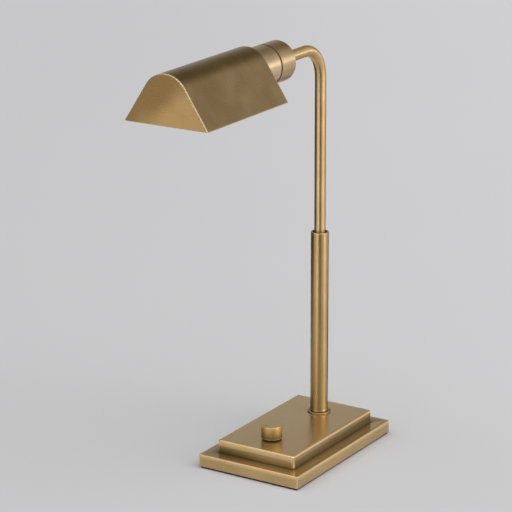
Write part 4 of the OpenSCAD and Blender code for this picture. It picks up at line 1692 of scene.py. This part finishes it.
@dataclass
class Lampholder(Assembly):
    """The lampholder on the end of the arm, with its bulb."""

    body: str = "arm"
    arm: Arm = field(default_factory=Arm)
    cap_s: float = 101.3
    cap_l: float = 16.0
    seat: float = 8.0
    body_l: float = 26.0
    r: float = 13.5
    wall: float = 2.5
    shell_r: float = 8.03
    shell_l: float = 19.0
    glass_s: float = 142.3
    glass_l: float = 62.0
    glass_r: float = 12.5
    glass_t: float = 0.8
    neck_r: float = 6.9
    neck_l: float = 3.0
    shoulder_l: float = 11.0
    skin_steps: int = 14
    glass_steps: int = 72
    groove_s: tuple[float, float] = (6.0, 10.0)
    # A grip groove's form: distance along, depth and rounding.
    groove: tuple[tuple[float, float, float], ...] = (
        (0.0, 0.0, 0.2),
        (0.5, 0.6, 0.0),
        (1.3, 0.6, 0.0),
        (1.8, 0.0, 0.2),
    )

    def build(self) -> list[bpy.types.Object]:
        """Builds and dresses the pieces.

        Returns:
            The pieces.
        """
        made = [self.cap(), self.barrel(), self.glass()]
        made += self.dress(BARE_BRASS, "holder_shell", "holder_contact")
        made += self.dress(NICKEL, "bulb_cap")
        made += self.dress(FILAMENT, "bulb_filament")
        return made

    def cap(self) -> bpy.types.Object:
        """Makes the lampholder's cap.

        Returns:
            The piece.
        """
        draft = Draft()
        hole, bore = self.arm.tube_r + self.arm.fit, self.r - self.wall
        profile = [
            Knot(hole, 0.0, 0.2, 0.0),
            Knot(self.r, 0.0, 2.2, 0.0),
            Knot(self.r, self.cap_l, 0.25, 0.0),
            Knot(bore, self.cap_l, 0.2, 0.0),
            Knot(bore, self.seat, 0.5, 0.0),
            Knot(hole, self.seat),
        ]
        draft.turn(rounded(profile), self.arm.along(self.cap_s))
        return self.add("lampholder_cap", draft, WHITE, "white_moulding", ["holder_cap"])

    def barrel(self) -> bpy.types.Object:
        """Makes the lampholder's body with two shallow grip grooves and a rolled rim.

        Returns:
            The piece.
        """
        draft = Draft()
        floor = self.body_l - self.shell_l
        r = self.r
        profile = [Knot(0.0, 0.0), Knot(r, 0.0, 0.25, 0.0)]
        for s in self.groove_s:
            profile += [Knot(r - deep, s + run, soft, 0.0) for run, deep, soft in self.groove]
        profile += [
            Knot(r, self.body_l, 1.0, 0.0),
            Knot(self.shell_r, self.body_l, 0.6, 0.0),
            Knot(self.shell_r, floor),
            Knot(0.0, floor),
        ]
        place = self.arm.along(self.cap_s + self.cap_l)
        draft.turn(rounded(profile, closed=False), place, closed=False)
        return self.add("lampholder_body", draft, WHITE, "white_moulding", ["holder_body"])

    def glass(self) -> bpy.types.Object:
        """Makes the bulb's glass with a drawn-in neck and a round tip.

        Returns:
            The piece.
        """
        draft = Draft()
        rims = []
        for inset in (0.0, self.glass_t):
            r, neck, tip = self.glass_r - inset, self.neck_r - inset, self.glass_l - inset
            skin = [Mark(neck, 0.0), Mark(neck, self.neck_l)]
            for k in range(1, self.skin_steps + 1):
                t = k / self.skin_steps
                skin.append(Mark(neck + (r - neck) * ease(t), self.neck_l + self.shoulder_l * t))
            hub = tip - r
            skin.append(Mark(r, (self.neck_l + self.shoulder_l + hub) / 2))
            for k in range(self.skin_steps):
                a = math.pi / 2 * k / self.skin_steps
                skin.append(Mark(r * math.cos(a), hub + r * math.sin(a)))
            skin.append(Mark(0.0, tip))
            start = len(draft.points)
            rims.append([start + k for k in range(self.glass_steps)])
            draft.turn(skin, self.arm.along(self.glass_s), closed=False, steps=self.glass_steps)
        draft.loft(rims)
        return self.add("bulb_envelope", draft, GLASS, "bulb_glass", ["bulb_glass"])


@dataclass
class Wiring(Assembly):
    """The leads inside the post and the arm."""

    body: str = "base"
    axis_y: float = 40.5
    low: float = 39.8
    high: float = 125.85
    flex_r: float = 1.6
    curl_r: float = 4.2
    turns: int = 8
    turn_steps: int = 24
    flex_steps: int = 12
    slack: float = 2.2

    def build(self) -> list[bpy.types.Object]:
        """Builds and dresses the leads, and gives them back."""
        return [self.curl()] + self.dress(FLEX, "lamp_lead", "arm_lead")

    def route(self) -> list[Vector]:
        """Gives the curly lead's centre line.

        Returns:
            Points from the foot of the post to the foot of the arm.
        """
        straight = 2 * self.flex_r
        span = self.high - self.low - 2 * straight
        steps = self.turn_steps * self.turns
        spots = [Vector((0.0, self.axis_y, self.low))]
        for k in range(steps + 1):
            t = k / steps
            a = 2 * math.pi * self.turns * t
            r = self.curl_r * ease(t * self.turns) * ease((1 - t) * self.turns)
            across = Vector((r * math.cos(a), r * math.sin(a), 0.0))
            spots.append(Vector((0.0, self.axis_y, self.low + straight + span * t)) + across)
        spots.append(Vector((0.0, self.axis_y, self.high)))
        return spots

    def curl(self) -> bpy.types.Object:
        """Makes the curly lead, left off any body with its place baked into its mesh.

        Returns:
            The piece.
        """
        draft = Draft()
        spots = self.route()
        rings = []
        for k, spot in enumerate(spots):
            ahead = spots[min(k + 1, len(spots) - 1)] - spots[max(k - 1, 0)]
            side = ahead.cross(Vector((0.0, 1.0, 0.0))).normalized()
            top = ahead.cross(side).normalized()
            rings.append(draft.hoop(spot, side, top, self.flex_r, steps=self.flex_steps))
        draft.fill(rings)
        slack = Vector((0.0, 0.0, self.slack))
        reach = ("glide", spots[0] - slack, spots[-1] + slack)
        return self.add("post_curly_lead", draft, FLEX, "black_flex", ["curly_lead"], reach=reach)


# Studio


@dataclass(frozen=True)
class Softbox:
    """A soft light far away: bearing and height in degrees, spread both ways, strength and tint."""

    bearing: float
    height: float
    spread_w: float
    spread_h: float
    strength: float
    tint: Colour = (1.0, 1.0, 1.0)


@dataclass(frozen=True)
class Card:
    """A dark or pale card by the table, from its near foot to its far top, seen only in reflections."""

    bearing: float
    near: float
    far: float
    half_deg: float
    low: float
    high: float
    glow: float = 0.01


def heading(bearing: float, height: float) -> Vector:
    """Gives the direction of a bearing, 0 in front of the lamp and 90 to its right, and a height."""
    a, e = math.radians(bearing), math.radians(height)
    return Vector((math.sin(a) * math.cos(e), -math.cos(a) * math.cos(e), math.sin(e)))


@dataclass
class Studio:
    """Camera, floor, surroundings and lights."""

    camera_at: tuple[float, float, float] = (1047.13, -1712.51, 801.70)
    bearing: float = 31.744
    height: float = 17.085
    focal: float = 2395.9
    picture: float = 512.0
    sensor: float = 36.0
    off_axis: tuple[float, float] = (28.033, -2.424)
    clip: tuple[float, float] = (0.05, 200.0)
    floor_size: float = 60.0
    floor_colour: Colour = (0.638, 0.638, 0.652)
    floor_painted_shade: float = 0.92
    boxes: tuple[Softbox, ...] = (
        Softbox(-2.0, 0.0, 9.0, 8.0, 7.4),
        Softbox(-20.0, 0.0, 12.0, 8.0, 0.9),
        Softbox(100.0, 0.0, 12.0, 20.0, 4.9),
        Softbox(110.0, 0.0, 18.0, 8.0, 0.5),
        Softbox(-66.0, 50.0, 18.0, 16.0, 2.15),
        Softbox(72.0, 58.0, 18.0, 14.0, 3.0),
        Softbox(0.0, 75.0, 14.0, 14.0, 1.1),
        Softbox(-147.0, 8.0, 14.0, 13.0, 0.34),
        Softbox(147.0, 3.0, 10.0, 8.0, 1.9),
        Softbox(156.0, 26.0, 9.0, 8.0, 0.34),
        Softbox(180.0, 33.0, 30.0, 12.0, 0.075, (1.0, 0.8, 0.28)),
    )
    cards: tuple[Card, ...] = (
        Card(-88.0, 300.0, 300.0, 34.0, 0.0, 420.0),
        Card(40.0, 230.0, 2600.0, 17.0, 1.0, 1.0),
        Card(180.0, 200.0, 470.0, 21.0, 1.0, 1.0),
        Card(180.0, 600.0, 600.0, 22.0, 0.0, 210.0),
        Card(-148.0, 900.0, 900.0, 26.0, 0.0, 470.0, 0.46),
    )

    def set_up(self) -> None:
        """Makes everything round the lamp."""
        self.look()
        self.floor()
        self.surroundings()
        for card in self.cards:
            self.stand_card(card)
        bpy.context.scene.view_settings.view_transform = "Standard"

    def look(self) -> None:
        """Makes the camera at the picture's own viewpoint."""
        back = heading(self.bearing, self.height)
        a = math.radians(self.bearing)
        right = Vector((math.cos(a), math.sin(a), 0.0))
        up = back.cross(right)
        yaw = math.atan2(self.off_axis[0], self.focal)
        pitch = math.atan2(self.off_axis[1], self.focal)
        ahead = -math.sin(yaw) * right - math.cos(yaw) * back
        side = math.cos(yaw) * right - math.sin(yaw) * back
        aim = math.sin(pitch) * up + math.cos(pitch) * ahead
        top = math.cos(pitch) * up - math.sin(pitch) * ahead
        lens = bpy.data.cameras.new("camera")
        lens.sensor_width = self.sensor
        lens.lens = self.focal / self.picture * self.sensor
        lens.clip_start, lens.clip_end = self.clip
        camera = bpy.data.objects.new("camera", lens)
        turn = Matrix((side, top, -aim)).transposed().to_4x4()
        camera.matrix_world = Matrix.Translation(Vector(self.camera_at) * MM) @ turn
        bpy.context.scene.collection.objects.link(camera)
        bpy.context.scene.camera = camera

    @staticmethod
    def panel(name: str, corners: Sequence[Vector]) -> tuple[bpy.types.Object, Nodes]:
        """Sets up one flat panel of the studio.

        Args:
            name: The panel's name.
            corners: Its four corners, in metres.

        Returns:
            The panel, and its material's empty node tree.
        """
        mesh = bpy.data.meshes.new(name)
        mesh.from_pydata(corners, [], [(0, 1, 2, 3)])
        panel = bpy.data.objects.new(name, mesh)
        bpy.context.scene.collection.objects.link(panel)
        paint, nodes = blank(f"{name}_paint")
        mesh.materials.append(paint)
        return panel, nodes

    def floor(self) -> None:
        """Makes the pale floor, with a soft painted shade that darkens it towards the left of the view.
        """
        half = self.floor_size / 2
        signs = ((-1, -1), (1, -1), (1, 1), (-1, 1))
        _, nodes = self.panel("floor", [Vector((x * half, y * half, 0.0)) for x, y in signs])
        where = nodes.add("TexCoord").outputs["Object"]
        across = heading(self.bearing + 90.0, 0.0)
        soft = nodes.span(nodes.cloud(where, 1.1, 2.0), 0.3, 0.7, 0.1)
        soft = nodes.sum("ADD", nodes.dot(where, across), soft)
        dark = tuple(self.floor_painted_shade * c for c in self.floor_colour)
        tone = nodes.blend(nodes.span(soft, -0.35, 0.45), dark, self.floor_colour)
        nodes.show(nodes.principled({"Base Color": tone, "Roughness": 0.9, "Specular IOR Level": 0.0}))

    def surroundings(self) -> None:
        """Makes the grey room with its soft lights, as one sky."""
        world = bpy.data.worlds.new("studio")
        bpy.context.scene.world = world
        world.use_nodes = True
        nodes = Nodes(world.node_tree)
        aim = nodes.add("TexCoord").outputs["Generated"]
        sky: object = (0.0, 0.0, 0.0)
        for box in self.boxes:
            share = self.box_light(nodes, aim, box)
            light = nodes.add("VectorMath", {0: box.tint, "Scale": share}, operation="SCALE").outputs[0]
            sky = nodes.vector("ADD", sky, light)
        glow = nodes.add("Background", {"Color": sky})
        nodes.add("OutputWorld", {"Surface": glow.outputs[0]})

    @staticmethod
    def box_light(nodes: Nodes, aim: bpy.types.NodeSocket, box: Softbox) -> bpy.types.NodeSocket:
        """Gives one soft light's share of the sky.

        Args:
            nodes: The world's node tree.
            aim: The direction looked at.
            box: The light.

        Returns:
            Its brightness in that direction.
        """
        ahead = heading(box.bearing, box.height)
        side = heading(box.bearing + 90.0, 0.0)
        top = side.cross(ahead) * -1.0
        squares = []
        for way, spread in ((side, box.spread_w), (top, box.spread_h)):
            far = nodes.sum("DIVIDE", nodes.dot(aim, way), math.radians(spread))
            squares.append(nodes.sum("MULTIPLY", far, far))
        drop = nodes.sum("MULTIPLY", nodes.sum("ADD", *squares), -0.5)
        fall = nodes.add("Math", {0: drop}, operation="EXPONENT").outputs[0]
        return nodes.sum("MULTIPLY", fall, nodes.span(nodes.dot(aim, ahead), 0.05, 0.15, box.strength))

    def stand_card(self, card: Card) -> None:
        """Sets up one card, seen only in reflections.

        Args:
            card: The card.
        """
        out = heading(card.bearing, 0.0)
        side = heading(card.bearing + 90.0, 0.0) * math.tan(math.radians(card.half_deg))
        corners = []
        for reach, high, way in (
            (card.near, card.low, -1.0),
            (card.near, card.low, 1.0),
            (card.far, card.high, 1.0),
            (card.far, card.high, -1.0),
        ):
            corners.append(((out + way * side) * reach + Vector((0.0, 0.0, high))) * MM)
        board, nodes = self.panel("studio_card", corners)
        glow = {"Color": (1.0, 1.0, 1.0, 1.0), "Strength": card.glow}
        nodes.show(nodes.add("Emission", glow))
        board.visible_camera = False
        board.visible_diffuse = False
        board.visible_shadow = False
        board.visible_transmission = False


def main() -> None:
    """Builds the studio and the lamp, and logs each piece's name and face count."""
    logging.basicConfig(level=logging.INFO, format="%(name)s: %(message)s")
    Studio().set_up()
    for assembly in (Base(), Dimmer(), Post(), Arm(), Shade(), Lampholder(), Wiring()):
        for piece in assembly.build():
            log.info("%s: %s, %d faces", type(assembly).__name__, piece.name, len(piece.data.polygons))


if __name__ == "__main__":
    main()
